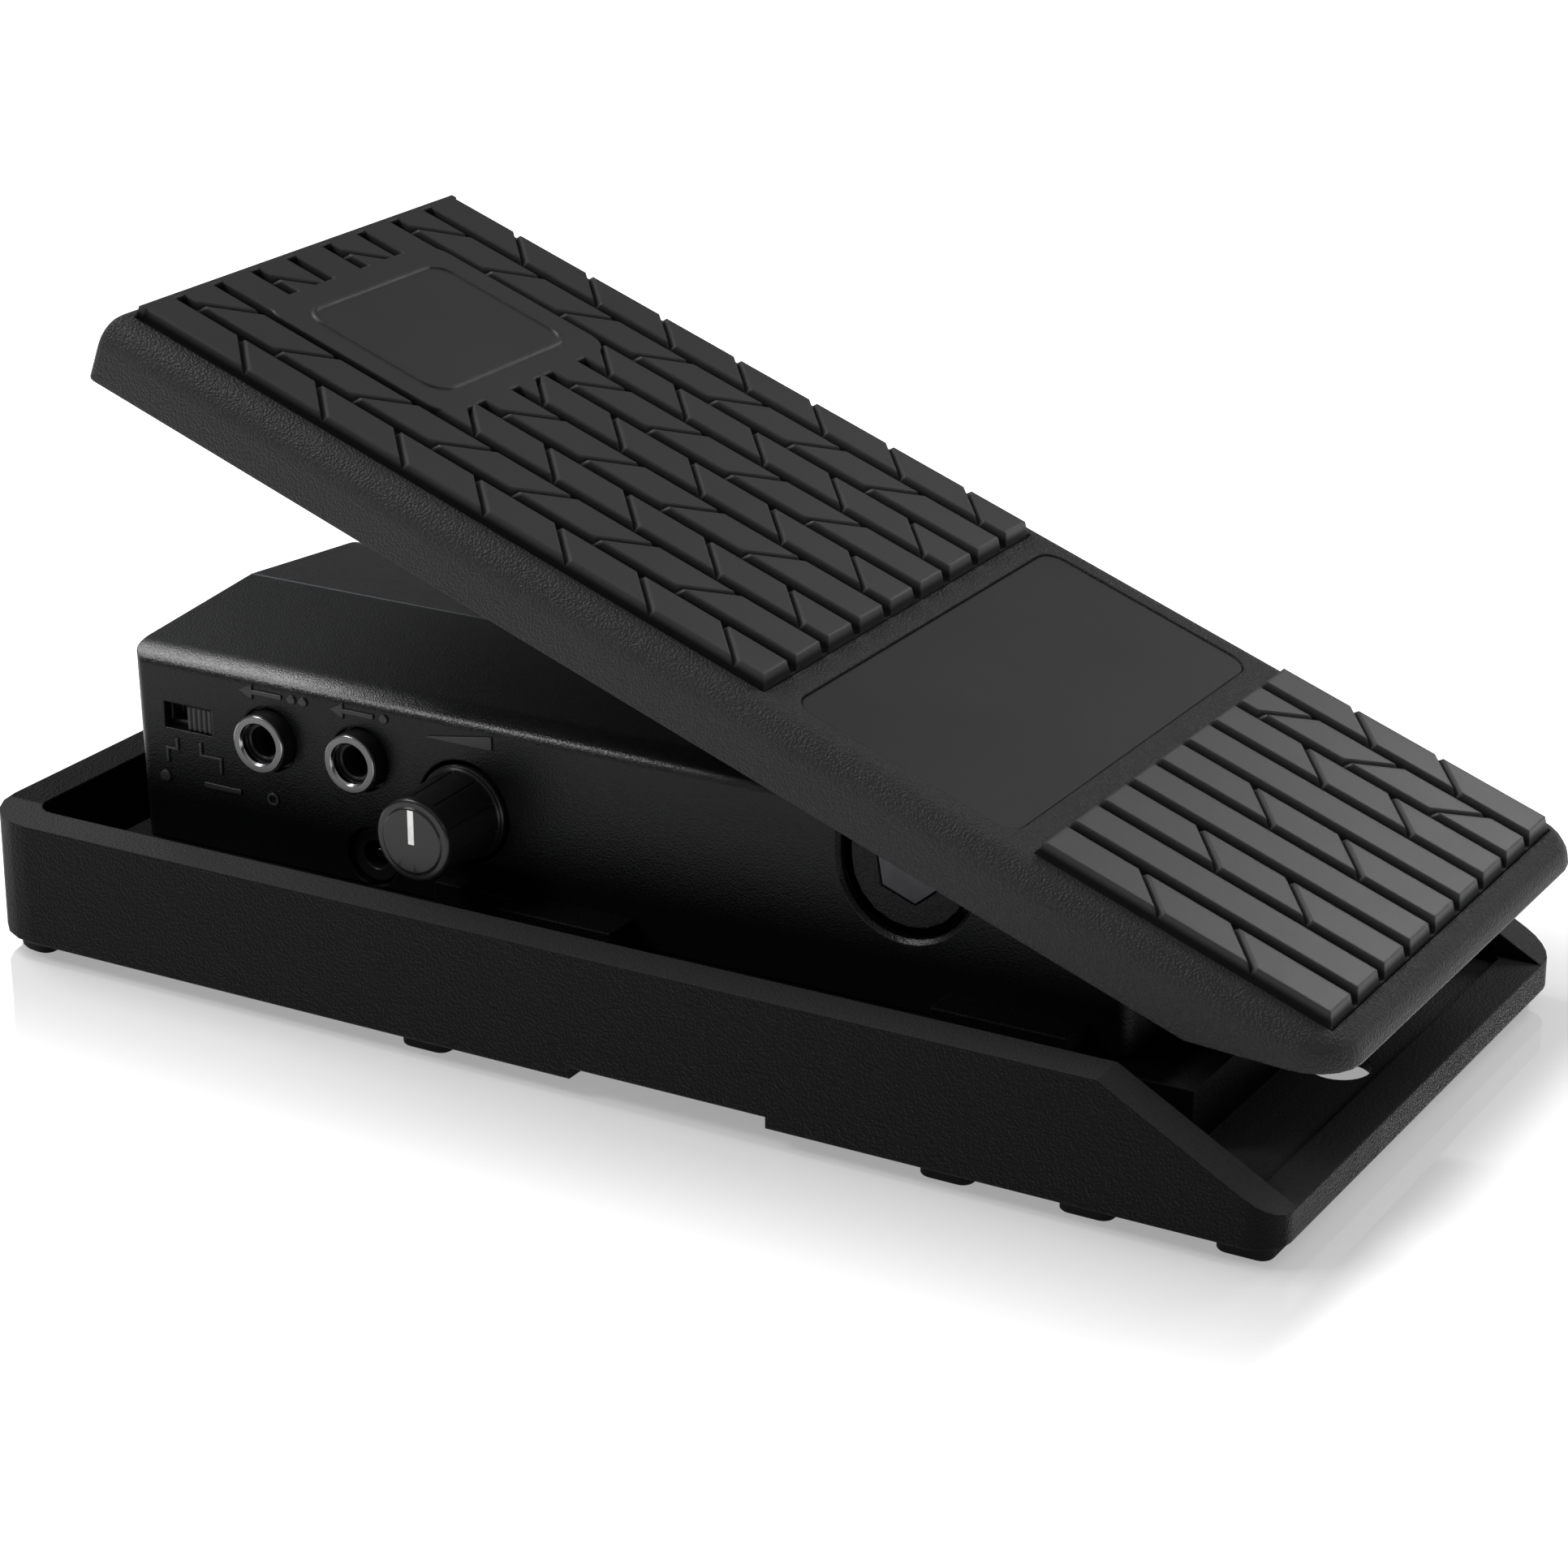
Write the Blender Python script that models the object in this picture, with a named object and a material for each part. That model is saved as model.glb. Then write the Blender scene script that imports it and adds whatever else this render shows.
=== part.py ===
"""Foot-operated volume pedal, modelled as an assembly of separate pieces.

Frame: +Z up, Z = 0 on the floor under the rubber feet, X = 0 on the mid-plane.
The toe end points to +Y and the heel end to -Y. The output side is -X.
The constants count Y from the tray's centre. At the end the whole model is moved along Y,
so that its origin lies under the middle of its overall length.
The treadle rests heel down, which is joint value zero.

Pieces of the treadle are drawn in the treadle's own frame, with its origin on the
pivot axis, Y along the treadle towards the toe and Z square to its top plate, and
are then hung from an empty on the pivot that tilts them.
"""

import math

import bmesh
import bpy

MM = 0.001
GAP = 0.3 * MM          # clearance kept between touching pieces
OVERSHOOT = 1.0 * MM    # how far a cutter runs past the face it opens
ROUND_STEPS = 32        # sides of a large round piece
SMALL_STEPS = 20        # sides of a small round piece
THIN_STEPS = 12         # sides of a thin round piece
CORNER_STEPS = 5        # chords in a quarter-circle corner
TOE_EDGE_STEPS = 3      # chords in the treadle's eased toe edge
HEX_SIDES = 6
TOLERANCE = 0.1 * MM    # how far off a plane a vertex may lie and still count as on it
MERGE_DISTANCE = 0.001 * MM
SHARP_ANGLE = math.radians(35.0)

# Base tray
FOOT_HEIGHT = 4.0 * MM
TRAY_LENGTH = 290.0 * MM
TRAY_WIDTH = 138.5 * MM
TRAY_TOE_CORNER = 14.0 * MM
TRAY_HEEL_CORNER = 6.5 * MM
LEAST_CORNER = 1.5 * MM     # corners that an inset would sharpen keep this radius
RIM_TOP = 29.7 * MM
RIM_WIDTH = 8.7 * MM
HEEL_LIP_TOP = 10.0 * MM
HEEL_SLOPE_START = -109.5 * MM
FLOOR_TOP = 8.5 * MM
FLOOR_BOTTOM = 6.3 * MM
SKIN = 2.5 * MM
PLINTH_TOP = 20.4 * MM
PLINTH_HALF_WIDTH = 46.8 * MM
PLINTH_HEEL = -118.4 * MM
PLINTH_TOE = 127.0 * MM
LEDGE_TOP = 26.6 * MM
LEDGES = [
    # distance of the outer face from the mid-plane, (heel end, toe end)
    (45.6 * MM, (28.0 * MM, 47.0 * MM)),
    (50.8 * MM, (3.0 * MM, 28.5 * MM)),
    (50.3 * MM, (-94.5 * MM, -66.5 * MM)),
]
CHANNEL_HEEL = -42.2 * MM
CHANNEL_TOE = 0.8 * MM
DRAIN_Y = -127.5 * MM
DRAIN_RADIUS = 6.1 * MM

# Rubber feet
FOOT_X = 59.9 * MM
FOOT_YS = [135.6 * MM, 37.5 * MM, -77.3 * MM, -105.7 * MM, -136.6 * MM]
FOOT_HALF_SIZE = 5.5 * MM
FOOT_CORNER = 2.5 * MM
TOE_FOOT_CORNER = 7.5 * MM
FOOT_PEG_RADIUS = 2.4 * MM
FOOT_PEG_HEIGHT = 3.0 * MM
FOOT_BOSS_RADIUS = 8.4 * MM
FOOT_EDGE = 0.4 * MM

# Housing
HOUSING_HALF_WIDTH = 41.7 * MM
HOUSING_TOE = 122.3 * MM
HOUSING_TOE_DRAFT = 1.3 * MM    # how much further the toe face reaches at the roof
HOUSING_HEEL = -102.6 * MM
HOUSING_BOTTOM = PLINTH_TOP + GAP
HOUSING_WALL = 2.2 * MM
HOUSING_CORNER = 3.0 * MM
HOUSING_CORNER_FOLLOW = 0.8     # share of an inset that comes off the corner radius
ROOF_RIDGE = 65.0 * MM
ROOF_FALL = 0.086       # drop of the gable for each unit of width
SHOULDER_START = 35.5 * MM      # distance from the mid-plane where the roof rounds over
SHOULDER_RADIUS = 10.5 * MM
SHOULDER_EDGE_RADIUS = 2.6 * MM     # tighter rounding between the wall and the shoulder
HOUSING_BOSS_X = 36.2 * MM
HOUSING_BOSS_YS = [98.5 * MM, -91.0 * MM]
HOUSING_BOSS_RADIUS = 4.2 * MM
HOUSING_BOSS_TOP = 36.0 * MM
SCREW_SHAFT_RADIUS = 1.3 * MM
SCREW_HEAD_RADIUS = 2.9 * MM
SCREW_HEAD_DEPTH = 1.8 * MM
SCREW_HOLE_RADIUS = 1.7 * MM

# Pivot
PIVOT_Y = -56.4 * MM
PIVOT_Z = 49.0 * MM
REST_TILT = math.radians(20.2)
NOTCH_RADIUS = 14.2 * MM
NOTCH_CHAMFER = 0.9 * MM
NOTCH_INNER_X = 28.8 * MM
BOLT_RADIUS = 4.0 * MM
HEX_ACROSS_FLATS = 13.0 * MM
HEX_DEPTH = 4.8 * MM
EAR_INNER_X = 30.2 * MM
EAR_OUTER_X = 40.2 * MM
EAR_RADIUS = 12.2 * MM
EAR_UPRIGHT = 5.5 * MM      # height above the axis to which the ear's toe flank is upright at rest
SLEEVE_RADIUS = 6.0 * MM
BRACKET_HALF_WIDTH = 25.2 * MM
BRACKET_SHEET = 3.0 * MM
BRACKET_HALF_LENGTH = 19.0 * MM
BRACKET_EYE_RADIUS = 10.5 * MM
BRACKET_SCREW_OFFSET = 12.0 * MM

# Treadle shell, in the treadle's own frame
PLATE_TOP = 24.5 * MM
PLATE_BOTTOM = 21.5 * MM
TREADLE_HALF_WIDTH = 60.8 * MM
TREADLE_WALL = 3.0 * MM
TREADLE_TOE = 186.6 * MM
TREADLE_HEEL = -94.4 * MM
TREADLE_EDGE_BOTTOM = 11.3 * MM
TREADLE_HEEL_EDGE_BOTTOM = 20.0 * MM
TREADLE_EDGE_KINK = -65.9 * MM
TREADLE_SHOULDER = 6.0 * MM
TREADLE_HEEL_CORNER = 10.0 * MM
TREADLE_TOE_EDGE = 2.0 * MM
RIB_YS = [72.0 * MM, 110.0 * MM, 150.0 * MM]
RIB_DEPTH = 2.8 * MM
RIB_THICKNESS = 2.0 * MM
LABEL_HALF_WIDTH = 52.0 * MM
LABEL_HEEL = -20.2 * MM
LABEL_TOE = 28.5 * MM
LABEL_CORNER = 4.5 * MM
LABEL_RECESS = 1.0 * MM
LABEL_THICKNESS = 0.4 * MM

# Tread pads, in the treadle's own frame
LANE_COUNT = 9
LANE_PITCH = 12.15 * MM
LANE_BASE_WIDTH = 10.4 * MM
LANE_TOP_WIDTH = 8.8 * MM
LANE_END_BEVEL = 1.6 * MM
TOE_BORDER = 1.3 * MM       # width of the strip that closes the toe pad's lanes at the toe
TREAD_TOP = 27.0 * MM
WEB_TOP = 24.4 * MM
WEB_BOTTOM = 23.6 * MM
TOE_PAD = (33.8 * MM, 183.4 * MM)
HEEL_PAD = (-87.4 * MM, -25.9 * MM)
SIPE_PITCH = 19.3 * MM
SIPE_WIDTH = 1.7 * MM
SIPE_DEPTH = 1.7 * MM
SIPE_SLANT = math.radians(48.0)
SIPE_END_GAP = 0.2 * MM     # how far a sipe stops short of the middle of the groove beside its lane
TOE_PAD_ODD_SIPE = 161.4 * MM
TOE_PAD_EVEN_SIPE = 173.9 * MM
TOE_PAD_SIPES = 7
HEEL_PAD_ODD_SIPE = -46.6 * MM
HEEL_PAD_ODD_SIPES = 2
HEEL_PAD_EVEN_SIPE = -35.1 * MM
HEEL_PAD_EVEN_SIPES = 3
PLATEAU_LANES = 5
PLATEAU_ENDS = (124.9 * MM, 171.9 * MM)
PLATEAU_CORNER = 5.0 * MM
FRAME_MARGIN = 6.0 * MM     # from the edge of the field to the plain frame moulded on it
FRAME_CORNER = 5.0 * MM
FRAME_LINE = 0.9 * MM
FRAME_RISE = 0.35 * MM

# Stop pads under the treadle
STOP_X = 20.0 * MM
STOP_HALF_SIZE = 5.0 * MM
TOE_STOP_Y = 160.0 * MM
TOE_STOP_BOTTOM = 17.6 * MM
HEEL_STOP_Y = -33.0 * MM
HEEL_STOP_BOTTOM = 18.0 * MM
HEEL_FACET_LEVEL = HEEL_STOP_BOTTOM - GAP

# Drive sector and pinion
GEAR_MODULE = 1.0 * MM
SECTOR_TEETH_PER_TURN = 120
PINION_TEETH = 12
PRESSURE_ANGLE = math.radians(20.0)
TOOTH_CLEARANCE = 0.15 * MM
SECTOR_ADDENDUM = 0.7 * MM
PINION_ADDENDUM = 0.8 * MM
PINION_OVERHANG = 0.5 * MM      # how much further than the sector the pinion reaches on each side
DEDENDUM = 1.15 * MM
SECTOR_PITCH_RADIUS = GEAR_MODULE * SECTOR_TEETH_PER_TURN / 2
PINION_PITCH_RADIUS = GEAR_MODULE * PINION_TEETH / 2
PINION_DIRECTION = 0.0
SECTOR_TEETH = 10
SECTOR_LEAD = 1.5       # teeth before the one that meshes at rest
SECTOR_RIM = 6.0 * MM
SECTOR_HALF_THICKNESS = 2.0 * MM
SECTOR_FLANGE_HALF_WIDTH = 8.5 * MM
SECTOR_FLANGE_THICKNESS = 2.0 * MM
SECTOR_FLANGE_ENDS = (37.0 * MM, 59.0 * MM)
SECTOR_SCREW_X = 5.2 * MM
SECTOR_SCREW_BITE = 1.2 * MM    # how far the screws reach into the plate
SECTOR_SLOT_ENDS = (-18.0 * MM, 7.5 * MM)
SECTOR_SLOT_HALF_WIDTH = 4.5 * MM

# Volume potentiometer
POT_RADIUS = 8.0 * MM
POT_DEPTH = 9.0 * MM
POT_BUSH_RADIUS = 3.4 * MM
POT_SHAFT_RADIUS = 2.2 * MM
POT_BRACKET_X = 6.0 * MM
POT_BRACKET_SHEET = 1.5 * MM
POT_BRACKET_HALF_LENGTH = 11.0 * MM
POT_BRACKET_TOP = 57.0 * MM
POT_BRACKET_FOOT = 13.0 * MM
POT_SCREW_INSET = 4.0 * MM      # from the foot's outer edge, and toward the toe from the pinion's axis

# Sockets on both sides of the housing
JACK_YS = [66.9 * MM, 89.3 * MM]
JACK_Z = 47.4 * MM
JACK_HOLE_RADIUS = 6.9 * MM
JACK_COLLAR_RADIUS = 6.2 * MM
JACK_FACE_X = 45.2 * MM
JACK_BODY_HALF_WIDTH = 8.0 * MM
JACK_BODY_HALF_HEIGHT = 7.0 * MM
JACK_BODY_INNER_X = 14.0 * MM
JACK_BORE_RADIUS = 3.3 * MM
JACK_RING_OUTER = 5.4 * MM
JACK_RING_INNER = 4.1 * MM
JACK_RING_DEPTH = 2.0 * MM
BOARD_THICKNESS = 1.6 * MM
BOARD_ENDS = (54.5 * MM, 118.5 * MM)
BOARD_HALF_WIDTH = 38.8 * MM

# Power socket
POWER_Y = 64.6 * MM
POWER_Z = 26.9 * MM
POWER_HOLE_RADIUS = 6.2 * MM
POWER_BODY_RADIUS = 5.6 * MM
POWER_BORE_RADIUS = 3.0 * MM
POWER_PIN_RADIUS = 1.0 * MM
POWER_FACE_X = 40.4 * MM
POWER_INNER_X = 26.0 * MM

# Minimum-volume control
MIN_Y = 42.3 * MM
MIN_Z = 41.0 * MM
MIN_HOLE_RADIUS = 10.8 * MM
MIN_POT_RADIUS = 8.5 * MM
MIN_POT_FACE_X = 39.0 * MM
MIN_POT_INNER_X = 30.0 * MM
MIN_SHAFT_RADIUS = 3.0 * MM
KNOB_FACE_X = 59.8 * MM
KNOB_BACK_X = 41.2 * MM
KNOB_FACE_RADIUS = 8.5 * MM
KNOB_ROOT_RADIUS = 9.1 * MM
KNOB_SKIRT_RADIUS = 9.9 * MM
KNOB_STEP_RADIUS = 9.5 * MM
KNOB_SKIRT_DEPTH = 1.4 * MM
KNOB_EDGE = 0.8 * MM
KNOB_BORE_DEPTH = 11.0 * MM
POINTER_HALF_WIDTH = 0.9 * MM
POINTER_INNER = -0.8 * MM
POINTER_OUTER = 7.2 * MM
POINTER_DEPTH = 0.7 * MM
POINTER_STAND = 0.1 * MM

# Mode switch
SWITCH_WINDOW_YS = (103.6 * MM, 115.6 * MM)
SWITCH_WINDOW_ZS = (45.3 * MM, 50.9 * MM)
SWITCH_BODY_MARGIN = 2.0 * MM
SWITCH_BODY_OUTER_X = 39.0 * MM
SWITCH_BODY_INNER_X = 31.0 * MM
SLIDER_LENGTH = 6.4 * MM
SLIDER_FACE_X = 41.3 * MM
SLIDER_STEM_LENGTH = 3.0 * MM
SLIDER_STEM_HALF_HEIGHT = 1.4 * MM
SLIDER_STEM_DEPTH = 3.0 * MM


def clear_scene():
    """Start from an empty file."""
    for item in list(bpy.data.objects):
        bpy.data.objects.remove(item)


def material(name, colour, roughness, metallic=0.0):
    """Make a Principled material, or return the one already made."""
    if name in bpy.data.materials:
        return bpy.data.materials[name]
    made = bpy.data.materials.new(name)
    made.use_nodes = True
    shader = made.node_tree.nodes["Principled BSDF"]
    shader.inputs["Base Color"].default_value = (*colour, 1.0)
    shader.inputs["Roughness"].default_value = roughness
    shader.inputs["Metallic"].default_value = metallic
    return made


def tray_plastic():
    return material("tray_plastic", (0.022, 0.022, 0.024), 0.6)


def housing_plastic():
    return material("housing_plastic", (0.016, 0.016, 0.018), 0.42)


def treadle_plastic():
    return material("treadle_plastic", (0.026, 0.026, 0.027), 0.62)


def tread_rubber():
    return material("tread_rubber", (0.036, 0.036, 0.037), 0.75)


def foot_rubber():
    return material("foot_rubber", (0.012, 0.012, 0.012), 0.9)


def label_plastic():
    return material("label_plastic", (0.04, 0.04, 0.042), 0.5)


def knob_plastic():
    return material("knob_plastic", (0.014, 0.014, 0.015), 0.35)


def pointer_white():
    return material("pointer_white", (0.85, 0.85, 0.83), 0.5)


def black_component():
    return material("black_component", (0.01, 0.01, 0.01), 0.45)


def nylon():
    return material("nylon", (0.03, 0.03, 0.032), 0.45)


def chrome():
    return material("chrome", (0.85, 0.85, 0.87), 0.1, 1.0)


def steel():
    return material("steel", (0.5, 0.5, 0.52), 0.35, 1.0)


def blackened_steel():
    return material("blackened_steel", (0.05, 0.05, 0.055), 0.4, 1.0)


def board_laminate():
    return material("board_laminate", (0.02, 0.12, 0.04), 0.5)


def new_piece(name, shape):
    """Turn a bmesh into a linked object with its faces pointing out."""
    bmesh.ops.recalc_face_normals(shape, faces=shape.faces[:])
    mesh = bpy.data.meshes.new(name)
    shape.to_mesh(mesh)
    shape.free()
    piece = bpy.data.objects.new(name, mesh)
    bpy.context.scene.collection.objects.link(piece)
    return piece


def stacked(name, layers, along="Z"):
    """Skin (level, outline) layers; outline points are (y, z) along X, (x, z) along Y, (x, y) along Z."""
    shape = bmesh.new()
    rings = []
    for level, outline in layers:
        ring = []
        for first, second in outline:
            spot = {"X": (level, first, second), "Y": (first, level, second), "Z": (first, second, level)}
            ring.append(shape.verts.new(spot[along]))
        rings.append(ring)
    shape.faces.new(rings[0])
    shape.faces.new(rings[-1])
    for lower, upper in zip(rings, rings[1:]):
        for index in range(len(lower)):
            shape.faces.new((lower[index - 1], lower[index], upper[index], upper[index - 1]))
    return new_piece(name, shape)


def extruded(name, outline, low, high, along="Z"):
    """Extrude one closed outline along an axis."""
    return stacked(name, [(low, outline), (high, outline)], along)


def block(name, x_span, y_span, z_span):
    """A plain rectangular block between the two ends of each span."""
    outline = [(x_span[0], y_span[0]), (x_span[1], y_span[0]), (x_span[1], y_span[1]), (x_span[0], y_span[1])]
    return extruded(name, outline, z_span[0], z_span[1])


def arc(centre, radius, start, end, steps):
    """Points along a circular arc, both ends included; angles in radians."""
    points = []
    for step in range(steps + 1):
        angle = start + (end - start) * step / steps
        points.append((centre[0] + radius * math.cos(angle), centre[1] + radius * math.sin(angle)))
    return points


def circle(centre, radius, steps=ROUND_STEPS):
    """Points around a full circle."""
    return arc(centre, radius, 0.0, math.tau, steps)[:-1]


def cornered_rectangle(first_span, second_span, radii):
    """A rectangle's outline with its own radius at each corner, from the high-high corner anticlockwise."""
    low_u, high_u = first_span
    low_v, high_v = second_span
    corners = [(high_u, high_v), (low_u, high_v), (low_u, low_v), (high_u, low_v)]
    inward = [(-1.0, -1.0), (1.0, -1.0), (1.0, 1.0), (-1.0, 1.0)]
    outline = []
    for number, (corner, way, radius) in enumerate(zip(corners, inward, radii)):
        centre = (corner[0] + way[0] * radius, corner[1] + way[1] * radius)
        start = number * math.pi / 2
        outline += arc(centre, radius, start, start + math.pi / 2, CORNER_STEPS)
    return outline


def rounded_rectangle(first_span, second_span, radius):
    """A rectangle's outline with all four corners rounded alike."""
    return cornered_rectangle(first_span, second_span, [radius] * 4)


def hexagon(across_flats):
    """A hexagon's outline with a flat at the top and the bottom."""
    return circle((0.0, 0.0), across_flats / math.sqrt(3.0), HEX_SIDES)


def rod(name, centre, radius, x_span, steps=SMALL_STEPS):
    """A round bar along X; the centre is (y, z)."""
    return extruded(name, circle(centre, radius, steps), x_span[0], x_span[1], "X")


def post(name, centre, radius, z_span, steps=SMALL_STEPS):
    """A round bar along Z; the centre is (x, y)."""
    return extruded(name, circle(centre, radius, steps), z_span[0], z_span[1], "Z")


def turned(name, profile, steps=ROUND_STEPS):
    """Spin a closed (x, radius) profile about the X axis."""
    shape = bmesh.new()
    ring = [shape.verts.new((along, 0.0, radius)) for along, radius in profile]
    edges = [shape.edges.new((ring[index - 1], ring[index])) for index in range(len(ring))]
    bmesh.ops.spin(shape, geom=ring + edges, cent=(0, 0, 0), axis=(1, 0, 0), angle=math.tau, steps=steps,
                   use_merge=True)
    bmesh.ops.remove_doubles(shape, verts=shape.verts[:], dist=MERGE_DISTANCE)
    return new_piece(name, shape)


def combine(target, tool, operation):
    """Union, cut or clip the target with a tool solid, then discard the tool."""
    modifier = target.modifiers.new(operation, "BOOLEAN")
    modifier.operation = operation
    modifier.solver = "EXACT"
    modifier.object = tool
    bpy.context.view_layer.update()
    depsgraph = bpy.context.evaluated_depsgraph_get()
    result = bpy.data.meshes.new_from_object(target.evaluated_get(depsgraph))
    target.modifiers.remove(modifier)
    target.data = result
    bpy.data.objects.remove(tool)


def add(target, tool):
    combine(target, tool, "UNION")


def cut(target, tool):
    combine(target, tool, "DIFFERENCE")


def clip(target, tool):
    combine(target, tool, "INTERSECT")


def merged(name, pieces):
    """Gather separate solids in one mesh, to be used as a single cutter."""
    shape = bmesh.new()
    for piece in pieces:
        shape.from_mesh(piece.data)
        bpy.data.objects.remove(piece)
    return new_piece(name, shape)


def dress(piece, surface):
    """Give a finished piece its material and smooth shading."""
    piece.data.materials.clear()
    piece.data.materials.append(surface)
    piece.data.shade_smooth()
    piece.data.set_sharp_from_angle(angle=SHARP_ANGLE)
    return piece


def axis_empty(name, location, tilt=0.0):
    """An empty on a joint's axis, which carries the pieces that turn about it."""
    empty = bpy.data.objects.new(name, None)
    empty.location = location
    empty.rotation_euler.x = tilt
    bpy.context.scene.collection.objects.link(empty)
    return empty


def hang(pieces, empty):
    """Parent pieces drawn in an empty's frame to that empty."""
    for piece in pieces:
        piece.parent = empty


# ---------------------------------------------------------------- base tray


def tray_profile(inset):
    """Side outline of the tray's rim, as (y, z), lowered and drawn in by an inset."""
    half = TRAY_LENGTH / 2 + OVERSHOOT
    slope = (RIM_TOP - HEEL_LIP_TOP) / (HEEL_SLOPE_START + TRAY_LENGTH / 2)
    drop = inset * math.hypot(1.0, slope)
    end = HEEL_LIP_TOP - drop - slope * OVERSHOOT
    start = HEEL_SLOPE_START + (drop - inset) / slope
    bottom = FOOT_HEIGHT - OVERSHOOT
    return [(-half, bottom), (half, bottom), (half, RIM_TOP - inset), (start, RIM_TOP - inset), (-half, end)]


def tray_plan(inset):
    """Plan outline of the tray, drawn in by an inset."""
    half_width = TRAY_WIDTH / 2 - inset
    half_length = TRAY_LENGTH / 2 - inset
    toe = max(TRAY_TOE_CORNER - inset, LEAST_CORNER)
    heel = max(TRAY_HEEL_CORNER - inset, LEAST_CORNER)
    return cornered_rectangle((-half_width, half_width), (-half_length, half_length), [toe, toe, heel, heel])


def rim_solid(name, inset, low):
    """The tray's outer block, or an inset of it, with the sloped sides and the low heel lip."""
    solid = extruded(name, tray_plan(inset), low, RIM_TOP + OVERSHOOT)
    half = TRAY_WIDTH / 2 + OVERSHOOT
    clip(solid, extruded("rim_clip", tray_profile(inset), -half, half, "X"))
    lip_half = TRAY_WIDTH / 2 - RIM_WIDTH + inset
    lip_ends = (-TRAY_LENGTH / 2 - OVERSHOOT, -TRAY_LENGTH / 2 + RIM_WIDTH + OVERSHOOT)
    cut(solid, block("lip", (-lip_half, lip_half), lip_ends, (HEEL_LIP_TOP - inset, RIM_TOP)))
    return solid


def base_tray():
    """Moulded tray: a hollow rim around a floor and the plinth that carries the housing."""
    tray = rim_solid("base_tray", 0.0, FOOT_HEIGHT)
    cut(tray, extruded("pocket", tray_plan(RIM_WIDTH), FLOOR_TOP, RIM_TOP + OVERSHOOT))
    add_plinth_and_ledges(tray)
    cut(tray, rim_cavity())
    cut(tray, extruded("floor_relief", tray_plan(SKIN), FOOT_HEIGHT - OVERSHOOT, FLOOR_BOTTOM))
    half_hollow = PLINTH_HALF_WIDTH - SKIN
    hollow_ends = (PLINTH_HEEL + SKIN, PLINTH_TOE - SKIN)
    cut(tray, block("hollow", (-half_hollow, half_hollow), hollow_ends, (FOOT_HEIGHT, PLINTH_TOP - SKIN)))
    add_foot_bosses(tray)
    cut_channel(tray)
    cut(tray, post("drain", (0.0, DRAIN_Y), DRAIN_RADIUS, (FOOT_HEIGHT, PLINTH_TOP), ROUND_STEPS))
    cut_tray_screw_holes(tray)
    return dress(tray, tray_plastic())


def add_plinth_and_ledges(tray):
    """The raised plinth, and the ledges beside it at the knob and near the pivot."""
    inside = (FLOOR_BOTTOM + SKIN / 2, PLINTH_TOP)
    add(tray, block("plinth", (-PLINTH_HALF_WIDTH, PLINTH_HALF_WIDTH), (PLINTH_HEEL, PLINTH_TOE), inside))
    ledge_inner = HOUSING_HALF_WIDTH + GAP
    ledge_zs = (FLOOR_BOTTOM + SKIN / 2, LEDGE_TOP)
    for outer, ends in LEDGES:
        add(tray, block("ledge", (-outer, -ledge_inner), ends, ledge_zs))


def rim_cavity():
    """The space inside the double-skinned rim, open underneath."""
    cavity = rim_solid("rim_cavity", SKIN, FLOOR_BOTTOM - OVERSHOOT)
    core = extruded("cavity_core", tray_plan(RIM_WIDTH - SKIN), FOOT_HEIGHT - OVERSHOOT, RIM_TOP + OVERSHOOT)
    cut(cavity, core)
    return cavity


def foot_places():
    """Name and (x, y) of every foot, numbered from the toe end."""
    places = []
    for side, sign in (("left", -1.0), ("right", 1.0)):
        for number, y in enumerate(FOOT_YS, start=1):
            places.append((f"foot_{side}_{number}", (sign * FOOT_X, y)))
    return places


def add_foot_bosses(tray):
    """Solid bosses in the rim's cavity, each with a socket for a foot's peg."""
    boss_top = FLOOR_TOP - TOLERANCE
    peg_socket = (FOOT_HEIGHT - OVERSHOOT, FOOT_HEIGHT + FOOT_PEG_HEIGHT + GAP)
    bosses = [post("boss", place, FOOT_BOSS_RADIUS, (FOOT_HEIGHT, boss_top)) for _, place in foot_places()]
    boss_set = merged("bosses", bosses)
    clip(boss_set, extruded("boss_clip", tray_plan(SKIN / 2), 0.0, RIM_TOP))
    add(tray, boss_set)
    reach = FOOT_PEG_RADIUS + GAP
    cut(tray, merged("sockets", [post("socket", place, reach, peg_socket) for _, place in foot_places()]))


def cut_channel(tray):
    """A shallow channel across the underside, between two low walls."""
    inner = TRAY_WIDTH / 2 - SKIN / 2
    wall_zs = (FOOT_HEIGHT, (FLOOR_BOTTOM + FLOOR_TOP) / 2)
    for low in (CHANNEL_TOE, CHANNEL_HEEL - SKIN):
        add(tray, block("channel_wall", (-inner, inner), (low, low + SKIN), wall_zs))
    outer = TRAY_WIDTH / 2 + OVERSHOOT
    zs = (FOOT_HEIGHT - OVERSHOOT, FLOOR_BOTTOM)
    cut(tray, block("channel", (-outer, outer), (CHANNEL_HEEL, CHANNEL_TOE), zs))


def housing_screw_places():
    """(x, y) of the four screws that hold the housing down."""
    return [(sign * HOUSING_BOSS_X, y) for y in HOUSING_BOSS_YS for sign in (-1.0, 1.0)]


def bracket_screw_places():
    """(x, y) of the two screws that hold the pivot bracket down."""
    return [(0.0, PIVOT_Y + offset) for offset in (BRACKET_SCREW_OFFSET, -BRACKET_SCREW_OFFSET)]


def cut_tray_screw_holes(tray):
    """Clearance holes through the plinth for the housing and bracket screws."""
    zs = (PLINTH_TOP - SKIN - OVERSHOOT, PLINTH_TOP + OVERSHOOT)
    places = housing_screw_places() + bracket_screw_places() + [pot_bracket_screw_place()]
    cut(tray, merged("screw_holes", [post("hole", place, SCREW_HOLE_RADIUS, zs) for place in places]))


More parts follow.
